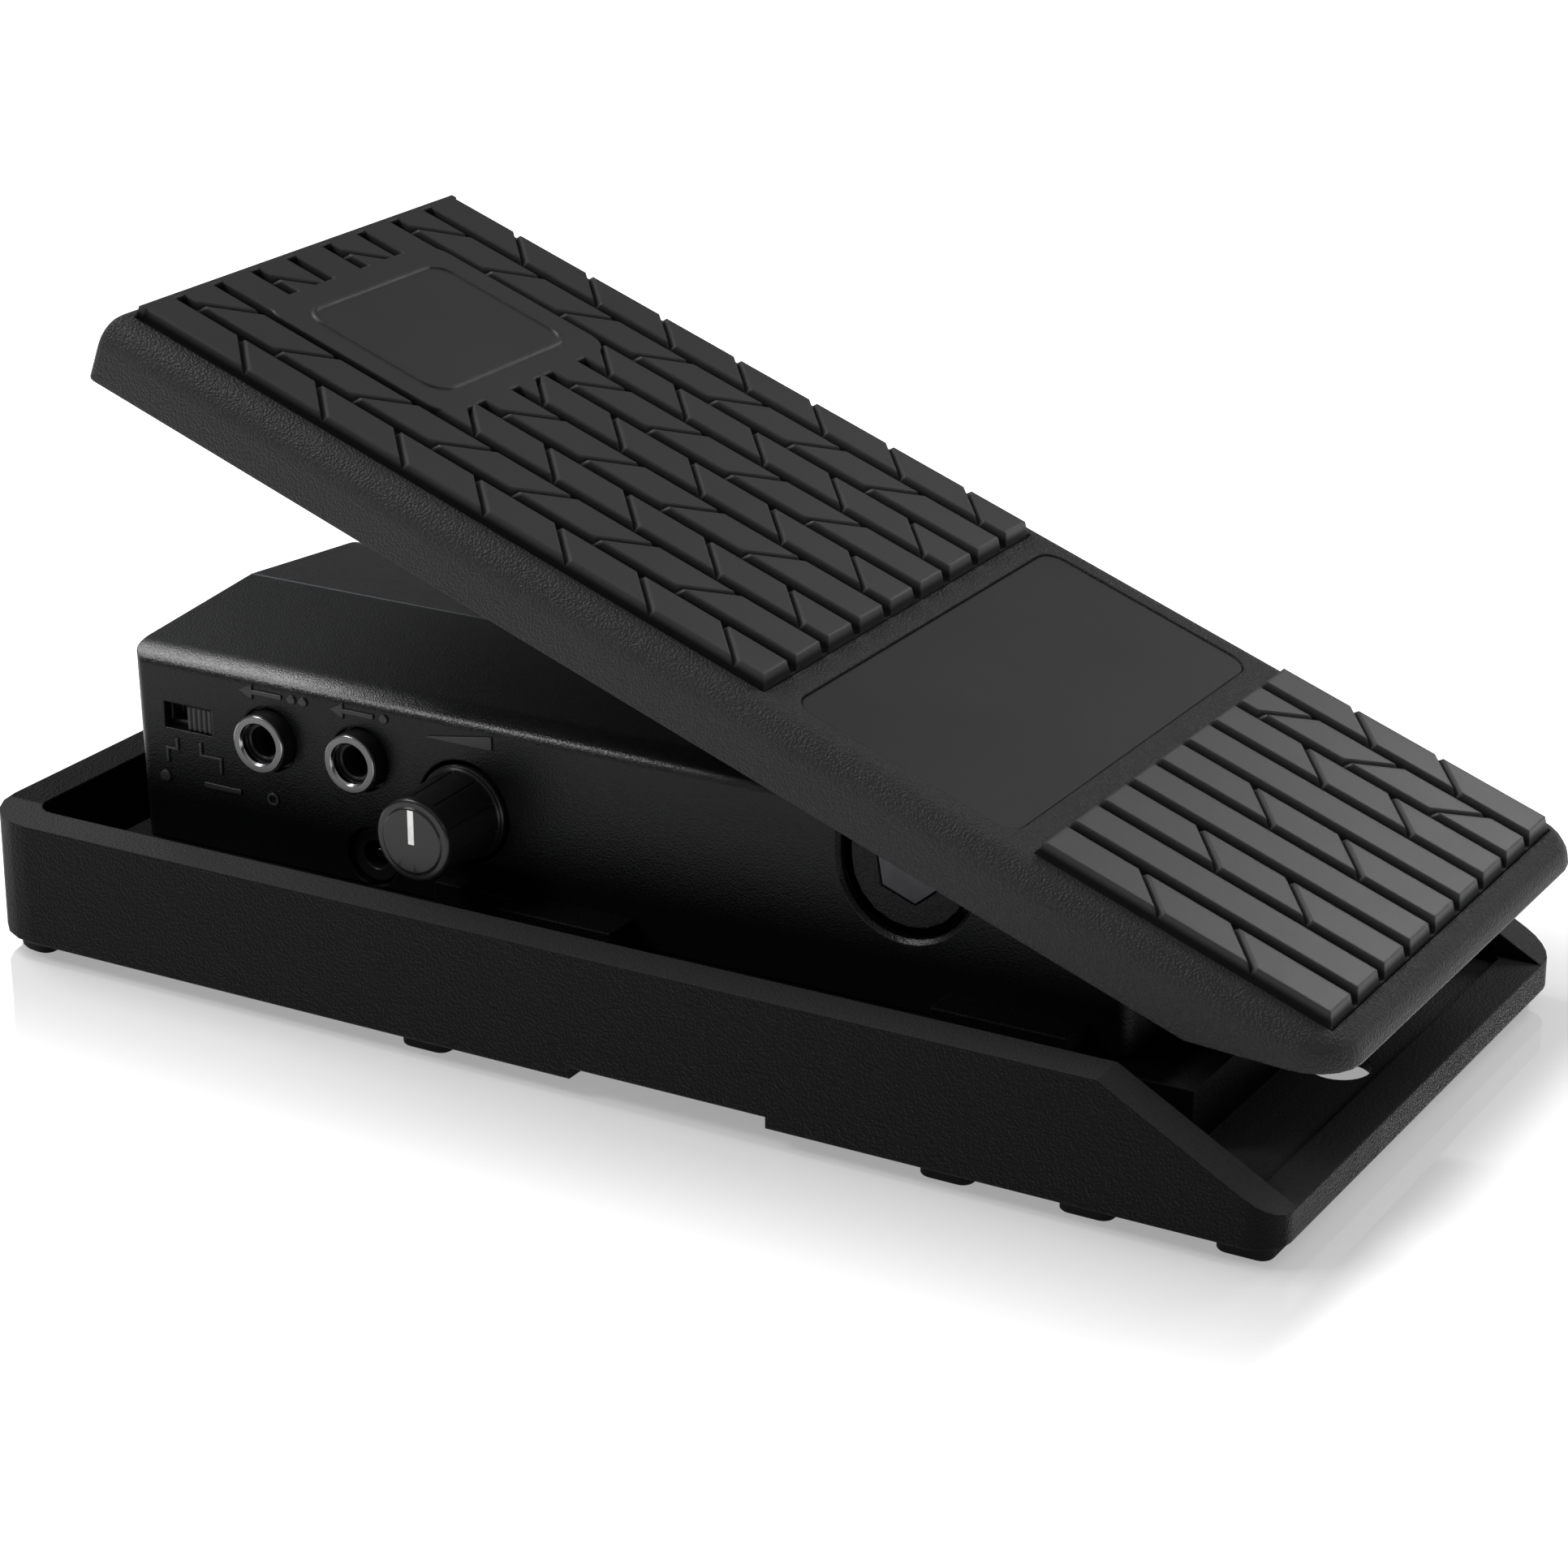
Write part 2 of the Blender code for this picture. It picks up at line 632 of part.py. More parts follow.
def foot_outline(place, inset):
    """Rounded square of a foot in plan; the two at the toe follow the tray's large corners."""
    x, y = place
    half = FOOT_HALF_SIZE - inset
    radii = [FOOT_CORNER - inset] * 4
    if y == FOOT_YS[0]:
        radii[0 if x > 0 else 1] = TOE_FOOT_CORNER - inset
    return cornered_rectangle((x - half, x + half), (y - half, y + half), radii)


def rubber_foot(name, place):
    """A foot with a bevelled lower edge and a peg that presses into the tray."""
    full = foot_outline(place, 0.0)
    edge = foot_outline(place, FOOT_EDGE)
    foot = stacked(name, [(0.0, edge), (FOOT_EDGE, full), (FOOT_HEIGHT - GAP, full)])
    add(foot, post("peg", place, FOOT_PEG_RADIUS, (FOOT_EDGE, FOOT_HEIGHT + FOOT_PEG_HEIGHT), THIN_STEPS))
    return dress(foot, foot_rubber())


# ---------------------------------------------------------------- housing


def roof_height(x, inset=0.0):
    """Height of the gabled roof at a distance from the mid-plane."""
    return ROOF_RIDGE - inset - ROOF_FALL * abs(x)


def housing_section(inset, bottom):
    """Cross-section of the housing as (x, z): upright sides, round shoulders, low gable."""
    half = HOUSING_HALF_WIDTH - inset
    fall = math.atan(ROOF_FALL)
    centre_x = SHOULDER_START - SHOULDER_RADIUS * math.sin(fall)
    centre_z = roof_height(SHOULDER_START) - SHOULDER_RADIUS * math.cos(fall)
    between = SHOULDER_RADIUS - SHOULDER_EDGE_RADIUS
    join = math.acos((HOUSING_HALF_WIDTH - SHOULDER_EDGE_RADIUS - centre_x) / between)
    edge_centre = (half - SHOULDER_EDGE_RADIUS + inset, centre_z + between * math.sin(join))
    edge = arc(edge_centre, SHOULDER_EDGE_RADIUS - inset, 0.0, join, CORNER_STEPS)
    shoulder = arc((centre_x, centre_z), SHOULDER_RADIUS - inset, join, math.pi / 2 - fall, CORNER_STEPS)
    right = [(half, bottom)] + edge + shoulder[1:]
    left = [(-x, z) for x, z in reversed(right)]
    return right + [(0.0, roof_height(0.0, inset))] + left


def below_heel_facet(inset, low):
    """A solid under the sloped facet at the heel end, parallel to the treadle at rest."""
    level = HEEL_FACET_LEVEL - inset
    length = TRAY_LENGTH
    outline = [(-length, level - length), (length, level - length), (length, level), (-length, level)]
    half = HOUSING_HALF_WIDTH + OVERSHOOT
    tilted = []
    for along, up in outline:
        tilted.append(from_treadle(along, up, REST_TILT))
    solid = extruded("below_facet", tilted, -half, half, "X")
    clip(solid, block("facet_clip", (-half, half), (-length, length), (low, TRAY_LENGTH)))
    return solid


def from_treadle(along, up, tilt):
    """World (y, z) of a point given in the treadle's frame at some tilt."""
    y = PIVOT_Y + along * math.cos(tilt) - up * math.sin(tilt)
    z = PIVOT_Z + along * math.sin(tilt) + up * math.cos(tilt)
    return y, z


def housing_plan(inset, reach):
    """Plan outline of the housing, with its toe face moved out by a reach."""
    half = HOUSING_HALF_WIDTH - inset
    ends = (HOUSING_HEEL + inset, HOUSING_TOE + reach - inset)
    return rounded_rectangle((-half, half), ends, HOUSING_CORNER - inset * HOUSING_CORNER_FOLLOW)


def housing_solid(name, inset, bottom):
    """The housing's outer shape, or an inset of it."""
    ends = (HOUSING_HEEL - OVERSHOOT, HOUSING_TOE + HOUSING_TOE_DRAFT + OVERSHOOT)
    solid = extruded(name, housing_section(inset, bottom), ends[0], ends[1], "Y")
    foot = (bottom - OVERSHOOT, housing_plan(inset, 0.0))
    head = (ROOF_RIDGE + OVERSHOOT, housing_plan(inset, HOUSING_TOE_DRAFT))
    clip(solid, stacked("plan_clip", [foot, head]))
    clip(solid, below_heel_facet(inset, bottom - OVERSHOOT))
    return solid


def housing_shell():
    """The cover over the electronics, with the roof slots and the side openings."""
    shell = housing_solid("housing_shell", 0.0, HOUSING_BOTTOM)
    cut(shell, housing_solid("housing_room", HOUSING_WALL, HOUSING_BOTTOM - OVERSHOOT))
    add_housing_bosses(shell)
    cut_pivot_notches(shell)
    cut_sector_slot(shell)
    cut_side_openings(shell)
    return dress(shell, housing_plastic())


def add_housing_bosses(shell):
    """Four screw bosses that run down the inside of the side walls."""
    zs = (HOUSING_BOTTOM, HOUSING_BOSS_TOP)
    bosses = [post("boss", place, HOUSING_BOSS_RADIUS, zs) for place in housing_screw_places()]
    boss_set = merged("bosses", bosses)
    half = HOUSING_HALF_WIDTH - HOUSING_WALL / 2
    clip(boss_set, block("boss_clip", (-half, half), (-TRAY_LENGTH, TRAY_LENGTH), (0.0, TRAY_LENGTH)))
    add(shell, boss_set)
    pilot = SCREW_SHAFT_RADIUS + GAP
    pilot_zs = (HOUSING_BOTTOM - OVERSHOOT, HOUSING_BOSS_TOP - SKIN)
    cut(shell, merged("pilots", [post("pilot", place, pilot, pilot_zs) for place in housing_screw_places()]))


def notch_outline(radius):
    """A U open at the top, centred on the pivot, as (y, z)."""
    top = ROOF_RIDGE + OVERSHOOT
    bottom = arc((PIVOT_Y, PIVOT_Z), radius, -math.pi, 0.0, ROUND_STEPS // 2)
    return [(PIVOT_Y - radius, top)] + bottom + [(PIVOT_Y + radius, top)]


def cut_pivot_notches(shell):
    """U-shaped notches in the roof and both sides, with a chamfered mouth, for the treadle's ears."""
    outer = HOUSING_HALF_WIDTH + OVERSHOOT
    chamfer_start = HOUSING_HALF_WIDTH - NOTCH_CHAMFER
    flare = NOTCH_RADIUS + NOTCH_CHAMFER + OVERSHOOT
    for sign in (-1.0, 1.0):
        cut(shell, extruded("notch", notch_outline(NOTCH_RADIUS), sign * NOTCH_INNER_X, sign * outer, "X"))
        ends = (sign * chamfer_start, sign * outer)
        mouth = [(ends[0], notch_outline(NOTCH_RADIUS)), (ends[1], notch_outline(flare))]
        cut(shell, stacked("mouth", mouth, "X"))


def cut_sector_slot(shell):
    """The slot in the roof for the treadle's drive sector."""
    xs = (-SECTOR_SLOT_HALF_WIDTH, SECTOR_SLOT_HALF_WIDTH)
    cut(shell, block("sector_slot", xs, SECTOR_SLOT_ENDS, (HOUSING_BOSS_TOP, ROOF_RIDGE + OVERSHOOT)))


def cut_side_openings(shell):
    """Openings for sockets, power, the minimum-volume control and the mode switch."""
    wall = sorted((HOUSING_HALF_WIDTH - HOUSING_WALL - OVERSHOOT, HOUSING_HALF_WIDTH + OVERSHOOT))
    left_wall = (-wall[1], -wall[0])
    holes = []
    for y in JACK_YS:
        holes.append(rod("jack_hole", (y, JACK_Z), JACK_HOLE_RADIUS, left_wall, ROUND_STEPS))
        holes.append(rod("jack_hole", (y, JACK_Z), JACK_HOLE_RADIUS, wall, ROUND_STEPS))
    holes.append(rod("power_hole", (POWER_Y, POWER_Z), POWER_HOLE_RADIUS, left_wall, ROUND_STEPS))
    holes.append(rod("min_hole", (MIN_Y, MIN_Z), MIN_HOLE_RADIUS, left_wall, ROUND_STEPS))
    holes.append(block("switch_window", left_wall, SWITCH_WINDOW_YS, SWITCH_WINDOW_ZS))
    cut(shell, merged("side_openings", holes))


# ---------------------------------------------------------------- fasteners


def screw(name, place, z_span, head_up):
    """A small screw along Z with a flat head at its top or bottom end."""
    low, high = z_span
    shaft = post(name, place, SCREW_SHAFT_RADIUS, z_span, THIN_STEPS)
    head_zs = (high - SCREW_HEAD_DEPTH, high) if head_up else (low, low + SCREW_HEAD_DEPTH)
    add(shaft, post("head", place, SCREW_HEAD_RADIUS, head_zs))
    return dress(shaft, steel())


def housing_screws():
    """Four screws driven up through the plinth into the housing's bosses."""
    low = PLINTH_TOP - SKIN - GAP - SCREW_HEAD_DEPTH
    high = HOUSING_BOSS_TOP - SKIN - OVERSHOOT
    for number, place in enumerate(housing_screw_places(), start=1):
        screw(f"housing_screw_{number}", place, (low, high), head_up=False)


# ---------------------------------------------------------------- pivot


def pivot_bracket():
    """A steel U bracket on the plinth whose two cheeks carry the pivot sleeve."""
    bottom = PLINTH_TOP + GAP
    width = (-BRACKET_HALF_WIDTH, BRACKET_HALF_WIDTH)
    ends = (PIVOT_Y - BRACKET_HALF_LENGTH, PIVOT_Y + BRACKET_HALF_LENGTH)
    bracket = block("pivot_bracket", width, ends, (bottom, bottom + BRACKET_SHEET))
    eye = arc((PIVOT_Y, PIVOT_Z), BRACKET_EYE_RADIUS, 0.0, math.pi, SMALL_STEPS // 2)
    cheek = [(ends[1], bottom)] + eye + [(ends[0], bottom)]
    for sign in (-1.0, 1.0):
        xs = sorted((sign * (BRACKET_HALF_WIDTH - BRACKET_SHEET), sign * BRACKET_HALF_WIDTH))
        add(bracket, extruded("cheek", cheek, xs[0], xs[1], "X"))
    bore = (-BRACKET_HALF_WIDTH - OVERSHOOT, BRACKET_HALF_WIDTH + OVERSHOOT)
    cut(bracket, rod("bore", (PIVOT_Y, PIVOT_Z), SLEEVE_RADIUS + GAP, bore))
    zs = (bottom - OVERSHOOT, bottom + BRACKET_SHEET + OVERSHOOT)
    holes = [post("hole", spot, SCREW_HOLE_RADIUS, zs) for spot in bracket_screw_places()]
    cut(bracket, merged("holes", holes))
    return dress(bracket, steel())


def bracket_screws():
    """Two screws that fasten the pivot bracket to the plinth."""
    top = PLINTH_TOP + GAP + BRACKET_SHEET + GAP + SCREW_HEAD_DEPTH
    low = PLINTH_TOP - SKIN + GAP
    for number, place in enumerate(bracket_screw_places(), start=1):
        screw(f"bracket_screw_{number}", place, (low, top), head_up=True)


def pivot_sleeve():
    """The spacer tube on which the ears clamp and the bolt turns."""
    end = EAR_INNER_X - GAP
    sleeve = rod("pivot_sleeve", (PIVOT_Y, PIVOT_Z), SLEEVE_RADIUS, (-end, end), ROUND_STEPS)
    cut(sleeve, rod("bore", (PIVOT_Y, PIVOT_Z), BOLT_RADIUS + GAP, (-end - OVERSHOOT, end + OVERSHOOT)))
    return dress(sleeve, steel())


def pivot_bolt():
    """The long bolt that joins both ears, its head on the output side."""
    head_face = -EAR_OUTER_X + GAP / 2
    bolt = rod("pivot_bolt", (0.0, 0.0), BOLT_RADIUS, (head_face + HEX_DEPTH / 2, EAR_OUTER_X - GAP))
    head = extruded("head", hexagon(HEX_ACROSS_FLATS), head_face, head_face + HEX_DEPTH, "X")
    add(bolt, head)
    return dress(bolt, blackened_steel())


def pivot_nut():
    """The nut in the other ear's pocket."""
    face = EAR_OUTER_X - GAP / 2
    nut = extruded("pivot_nut", hexagon(HEX_ACROSS_FLATS), face - HEX_DEPTH, face, "X")
    cut(nut, rod("bore", (0.0, 0.0), BOLT_RADIUS + GAP, (0.0, face + OVERSHOOT)))
    return dress(nut, blackened_steel())


# ---------------------------------------------------------------- treadle


def treadle_plan(inset):
    """Plan outline of the treadle with rounded heel corners and square toe corners."""
    half = TREADLE_HALF_WIDTH - inset
    toe = TREADLE_TOE - inset
    heel = TREADLE_HEEL + inset
    radius = TREADLE_HEEL_CORNER - inset
    left = arc((-half + radius, heel + radius), radius, math.pi, math.pi * 1.5, CORNER_STEPS)
    right = arc((half - radius, heel + radius), radius, math.pi * 1.5, math.tau, CORNER_STEPS)
    return [(half, toe), (-half, toe)] + left + right


def treadle_block(name, inset, low, high, shoulder):
    """The treadle's plan extruded, with its long sides and heel rounded over at the top."""
    piece = extruded(name, treadle_plan(inset), low, high)
    shape = bmesh.new()
    shape.from_mesh(piece.data)
    toe = TREADLE_TOE - inset
    edges = []
    for edge in shape.edges:
        ends = [vert.co for vert in edge.verts]
        on_top = all(abs(end.z - high) < OVERSHOOT for end in ends)
        on_toe = all(abs(end.y - toe) < OVERSHOOT for end in ends)
        if on_top and not on_toe:
            edges.append(edge)
    bmesh.ops.bevel(shape, geom=edges, offset=shoulder, segments=CORNER_STEPS, profile=0.5, affect="EDGES")
    shape.to_mesh(piece.data)
    shape.free()
    return piece


def heel_relief():
    """What is cut from the treadle's lower edge, so that the heel clears the tray."""
    rise = TREADLE_HEEL_EDGE_BOTTOM - TREADLE_EDGE_BOTTOM
    slope = rise / (TREADLE_EDGE_KINK - TREADLE_HEEL)
    reach = 4 * OVERSHOOT
    outline = [
        (TREADLE_EDGE_KINK + reach / slope, TREADLE_EDGE_BOTTOM - reach),
        (TREADLE_HEEL - reach, TREADLE_HEEL_EDGE_BOTTOM + reach * slope),
        (TREADLE_HEEL - reach, TREADLE_EDGE_BOTTOM - reach),
    ]
    half = TREADLE_HALF_WIDTH + OVERSHOOT
    return extruded("heel_relief", outline, -half, half, "X")


def treadle_shell():
    """The rocking plate: a shallow inverted tray with ribs and two pivot ears."""
    shell = treadle_block("treadle_shell", 0.0, TREADLE_EDGE_BOTTOM, PLATE_TOP, TREADLE_SHOULDER)
    round_toe_edge(shell)
    low = TREADLE_EDGE_BOTTOM - OVERSHOOT
    cut(shell, treadle_block("hollow", TREADLE_WALL, low, PLATE_BOTTOM, TREADLE_SHOULDER - TREADLE_WALL))
    add_ribs(shell)
    cut(shell, heel_relief())
    add_ears(shell)
    cut_pad_recesses(shell)
    cut_sector_screw_holes(shell)
    return dress(shell, treadle_plastic())


def round_toe_edge(shell):
    """Ease the edges around the toe face."""
    shape = bmesh.new()
    shape.from_mesh(shell.data)
    edges = []
    for edge in shape.edges:
        ends = [vert.co for vert in edge.verts]
        on_toe = all(abs(end.y - TREADLE_TOE) < TOLERANCE for end in ends)
        at_bottom = all(end.z < TREADLE_EDGE_BOTTOM + TOLERANCE for end in ends)
        if on_toe and not at_bottom:
            edges.append(edge)
    bmesh.ops.bevel(shape, geom=edges, offset=TREADLE_TOE_EDGE, segments=TOE_EDGE_STEPS, profile=0.5,
                    affect="EDGES")
    shape.to_mesh(shell.data)
    shape.free()


def add_ribs(shell):
    """Cross ribs under the plate."""
    half = TREADLE_HALF_WIDTH - TREADLE_WALL / 2
    for y in RIB_YS:
        ends = (y - RIB_THICKNESS / 2, y + RIB_THICKNESS / 2)
        add(shell, block("rib", (-half, half), ends, (PLATE_BOTTOM - RIB_DEPTH, PLATE_BOTTOM + GAP)))


def to_treadle(y, z):
    """Point in the treadle's frame of a place relative to the pivot at rest."""
    along = y * math.cos(REST_TILT) + z * math.sin(REST_TILT)
    up = z * math.cos(REST_TILT) - y * math.sin(REST_TILT)
    return along, up


def ear_outline():
    """Side view of an ear: a round foot, upright flanks at rest, then a flank square to the plate."""
    foot = arc((0.0, 0.0), EAR_RADIUS, -math.pi - REST_TILT, -REST_TILT, SMALL_STEPS // 2)
    root = PLATE_BOTTOM + GAP
    toe_corner = to_treadle(EAR_RADIUS, EAR_UPRIGHT)
    heel_rise = (root - foot[0][1]) / math.cos(REST_TILT)
    heel_corner = (foot[0][0] + heel_rise * math.sin(REST_TILT), root)
    return foot + [toe_corner, (toe_corner[0], root), heel_corner]


def add_ears(shell):
    """Two ears that reach down through the housing's notches, with a bore and a hexagonal pocket."""
    for sign in (-1.0, 1.0):
        xs = sorted((sign * EAR_INNER_X, sign * EAR_OUTER_X))
        add(shell, extruded("ear", ear_outline(), xs[0], xs[1], "X"))
        outer = sign * (EAR_OUTER_X + OVERSHOOT)
        floor = sign * (EAR_OUTER_X - HEX_DEPTH - GAP)
        cut(shell, extruded("pocket", hexagon(HEX_ACROSS_FLATS + 2 * GAP), floor, outer, "X"))
    bore = (-EAR_OUTER_X - OVERSHOOT, EAR_OUTER_X + OVERSHOOT)
    cut(shell, rod("bore", (0.0, 0.0), BOLT_RADIUS + GAP, bore))


def cut_pad_recesses(shell):
    """Shallow recesses for the webs of both tread pads and for the label plate."""
    half = pad_half_width() + GAP
    for low, high in (TOE_PAD, HEEL_PAD):
        zs = (WEB_BOTTOM - GAP, PLATE_TOP + OVERSHOOT)
        cut(shell, block("pad_recess", (-half, half), (low - GAP, high + GAP), zs))
    label = rounded_rectangle((-LABEL_HALF_WIDTH, LABEL_HALF_WIDTH), (LABEL_HEEL, LABEL_TOE), LABEL_CORNER)
    cut(shell, extruded("label_recess", label, PLATE_TOP - LABEL_RECESS, PLATE_TOP + OVERSHOOT))


def label_plate():
    """The plain plate between the two tread pads."""
    half = LABEL_HALF_WIDTH - GAP
    outline = rounded_rectangle((-half, half), (LABEL_HEEL + GAP, LABEL_TOE - GAP), LABEL_CORNER - GAP)
    bottom = PLATE_TOP - LABEL_RECESS + GAP
    return dress(extruded("label_plate", outline, bottom, bottom + LABEL_THICKNESS), label_plastic())


# ---------------------------------------------------------------- tread pads


def pad_half_width():
    """Half the width of a pad's web."""
    return (LANE_COUNT - 1) / 2 * LANE_PITCH + LANE_BASE_WIDTH / 2


def lane_centre(lane):
    """X of a lane's centre line; lanes are numbered from 1 on the output side."""
    return (lane - (LANE_COUNT + 1) / 2) * LANE_PITCH


def rectangle(centre_x, half_width, ends):
    """Four corners of a rectangle in plan."""
    low, high = ends
    left = centre_x - half_width
    right = centre_x + half_width
    return [(left, low), (right, low), (right, high), (left, high)]


def lane_bar(lane, ends):
    """One raised lane with sloping flanks and bevelled ends, rooted in the web."""
    centre = lane_centre(lane)
    base = rectangle(centre, LANE_BASE_WIDTH / 2, ends)
    top = rectangle(centre, LANE_TOP_WIDTH / 2, (ends[0] + LANE_END_BEVEL, ends[1] - LANE_END_BEVEL / 4))
    root = (WEB_TOP + WEB_BOTTOM) / 2
    return stacked("lane", [(root, base), (TREAD_TOP, top)])


def sipe(lane, y, direction):
    """A slanting V-shaped groove across one lane."""
    reach = LANE_PITCH / 2 - SIPE_END_GAP
    rise = direction * reach / math.tan(SIPE_SLANT)
    half = SIPE_WIDTH / 2 / math.sin(SIPE_SLANT)
    layers = []
    for side in (-1.0, 1.0):
        middle = y + side * rise
        mouth = TREAD_TOP + GAP
        section = [(middle - half, mouth), (middle + half, mouth), (middle, TREAD_TOP - SIPE_DEPTH)]
        layers.append((lane_centre(lane) + side * reach, section))
    return stacked("sipe", layers, "X")


def plateau_half_width():
    """Half the width of the plain raised field in the toe pad."""
    return (PLATEAU_LANES - 1) / 2 * LANE_PITCH + LANE_BASE_WIDTH / 2


def tread_pad(name, ends, bars, sipes):
    """A rubber mat: a thin web with raised lanes and slanting grooves."""
    half = pad_half_width()
    pad = block(name, (-half, half), ends, (WEB_BOTTOM, WEB_TOP))
    add(pad, merged("bars", bars))
    cut(pad, merged("sipes", sipes))
    return pad


def is_plateau_lane(lane):
    """Whether the plain field interrupts a lane of the toe pad."""
    return abs(lane - (LANE_COUNT + 1) / 2) <= (PLATEAU_LANES - 1) / 2


def toe_pad_bars():
    """The toe pad's lanes; those that meet the plain field run a little way into it."""
    bars = []
    for lane in range(1, LANE_COUNT + 1):
        if is_plateau_lane(lane):
            bars.append(lane_bar(lane, (TOE_PAD[0], PLATEAU_ENDS[0] + PLATEAU_CORNER)))
            bars.append(lane_bar(lane, (PLATEAU_ENDS[1] - PLATEAU_CORNER, TOE_PAD[1])))
        else:
            bars.append(lane_bar(lane, TOE_PAD))
    return bars


def toe_pad_sipes():
    """Slanting grooves of the toe pad: odd lanes lean one way, even lanes the other."""
    sipes = []
    for lane in range(1, LANE_COUNT + 1):
        odd = lane % 2 == 1
        first = TOE_PAD_ODD_SIPE if odd else TOE_PAD_EVEN_SIPE
        for number in range(TOE_PAD_SIPES):
            y = first - number * SIPE_PITCH
            if is_plateau_lane(lane) and PLATEAU_ENDS[0] < y < PLATEAU_ENDS[1]:
                continue
            sipes.append(sipe(lane, y, 1.0 if odd else -1.0))
    return sipes


def toe_tread_pad():
    """The long pad under the front of the foot: a closed toe end, and a plain field with a moulded frame."""
    pad = tread_pad("toe_tread_pad", TOE_PAD, toe_pad_bars(), toe_pad_sipes())
    root = (WEB_TOP + WEB_BOTTOM) / 2
    half = plateau_half_width()
    field = rounded_rectangle((-half, half), PLATEAU_ENDS, PLATEAU_CORNER)
    add(pad, extruded("plateau", field, root, TREAD_TOP))
    reach = pad_half_width()
    add(pad, block("toe_border", (-reach, reach), (TOE_PAD[1] - TOE_BORDER, TOE_PAD[1]), (root, TREAD_TOP)))
    frame = extruded("frame", frame_outline(0.0), root, TREAD_TOP + FRAME_RISE)
    cut(frame, extruded("frame_middle", frame_outline(FRAME_LINE), root - GAP, TREAD_TOP + OVERSHOOT))
    add(pad, frame)
    return dress(pad, tread_rubber())


def frame_outline(inset):
    """Outline of the plain frame moulded on the toe pad's field, drawn in by an inset."""
    half = plateau_half_width() - FRAME_MARGIN - inset
    ends = (PLATEAU_ENDS[0] + FRAME_MARGIN + inset, PLATEAU_ENDS[1] - FRAME_MARGIN - inset)
    return rounded_rectangle((-half, half), ends, FRAME_CORNER - inset)


def heel_tread_pad():
    """The short pad under the heel; of its even lanes only the last but one is grooved."""
    bars = [lane_bar(lane, HEEL_PAD) for lane in range(1, LANE_COUNT + 1)]
    sipes = []
    for lane in range(1, LANE_COUNT + 1, 2):
        for number in range(HEEL_PAD_ODD_SIPES):
            sipes.append(sipe(lane, HEEL_PAD_ODD_SIPE - number * SIPE_PITCH, 1.0))
    for number in range(HEEL_PAD_EVEN_SIPES):
        sipes.append(sipe(LANE_COUNT - 1, HEEL_PAD_EVEN_SIPE - number * SIPE_PITCH, -1.0))
    return dress(tread_pad("heel_tread_pad", HEEL_PAD, bars, sipes), tread_rubber())


# ---------------------------------------------------------------- stops and drive


def stop_pads():
    """Rubber stops under the plate that land on the housing's roof at each end of travel."""
    pads = []
    for end, y, bottom in (("toe", TOE_STOP_Y, TOE_STOP_BOTTOM), ("heel", HEEL_STOP_Y, HEEL_STOP_BOTTOM)):
        for side, sign in (("left", -1.0), ("right", 1.0)):
            xs = (sign * STOP_X - STOP_HALF_SIZE, sign * STOP_X + STOP_HALF_SIZE)
            ys = (y - STOP_HALF_SIZE, y + STOP_HALF_SIZE)
            pad = block(f"{end}_stop_pad_{side}", xs, ys, (bottom, PLATE_BOTTOM - GAP))
            pads.append(dress(pad, foot_rubber()))
    return pads


def involute(angle):
    """The involute function."""
    return math.tan(angle) - angle


def tooth_side(pitch_radius, teeth_per_turn, radius):
    """Half the angle that a tooth spans at some radius."""
    base = pitch_radius * math.cos(PRESSURE_ANGLE)
    half = math.pi / (2 * teeth_per_turn) - TOOTH_CLEARANCE / pitch_radius
    reach = max(radius, base)
    return half + involute(PRESSURE_ANGLE) - involute(math.acos(base / reach))


def tooth_points(pitch_radius, teeth_per_turn, addendum, middle):
    """Outline of one tooth, root to tip to root, about its middle angle."""
    root = pitch_radius - DEDENDUM
    tip = pitch_radius + addendum
    steps = 4
    radii = [root + (tip - root) * step / steps for step in range(steps + 1)]
    rising = []
    falling = []
    for radius in radii:
        half = tooth_side(pitch_radius, teeth_per_turn, radius)
        for flank, angle in ((rising, middle - half), (falling, middle + half)):
            flank.append((radius * math.cos(angle), radius * math.sin(angle)))
    return rising + falling[::-1]


def drive_sector():
    """The toothed sector under the treadle, with the flange that it hangs from."""
    step = math.tau / SECTOR_TEETH_PER_TURN
    mesh_angle = PINION_DIRECTION - REST_TILT
    outline = []
    for number in range(SECTOR_TEETH):
        middle = mesh_angle + (number - SECTOR_LEAD) * step
        outline += tooth_points(SECTOR_PITCH_RADIUS, SECTOR_TEETH_PER_TURN, SECTOR_ADDENDUM, middle)
    top = PLATE_BOTTOM - GAP
    arm_top = top - SECTOR_FLANGE_THICKNESS / 2
    first = mesh_angle - (SECTOR_LEAD + 0.5) * step
    last = mesh_angle + (SECTOR_TEETH - SECTOR_LEAD + 0.5) * step
    inner = SECTOR_PITCH_RADIUS - DEDENDUM - SECTOR_RIM
    outline += [(SECTOR_FLANGE_ENDS[1], arm_top), (SECTOR_FLANGE_ENDS[0], arm_top)]
    outline += arc((0.0, 0.0), inner, last, first, CORNER_STEPS)
    sector = extruded("drive_sector", outline, -SECTOR_HALF_THICKNESS, SECTOR_HALF_THICKNESS, "X")
    xs = (-SECTOR_FLANGE_HALF_WIDTH, SECTOR_FLANGE_HALF_WIDTH)
    add(sector, block("flange", xs, SECTOR_FLANGE_ENDS, (top - SECTOR_FLANGE_THICKNESS, top)))
    zs = (top - SECTOR_FLANGE_THICKNESS - OVERSHOOT, top + OVERSHOOT)
    for spot in sector_screw_places():
        cut(sector, post("hole", spot, SCREW_HOLE_RADIUS, zs))
    return dress(sector, nylon())


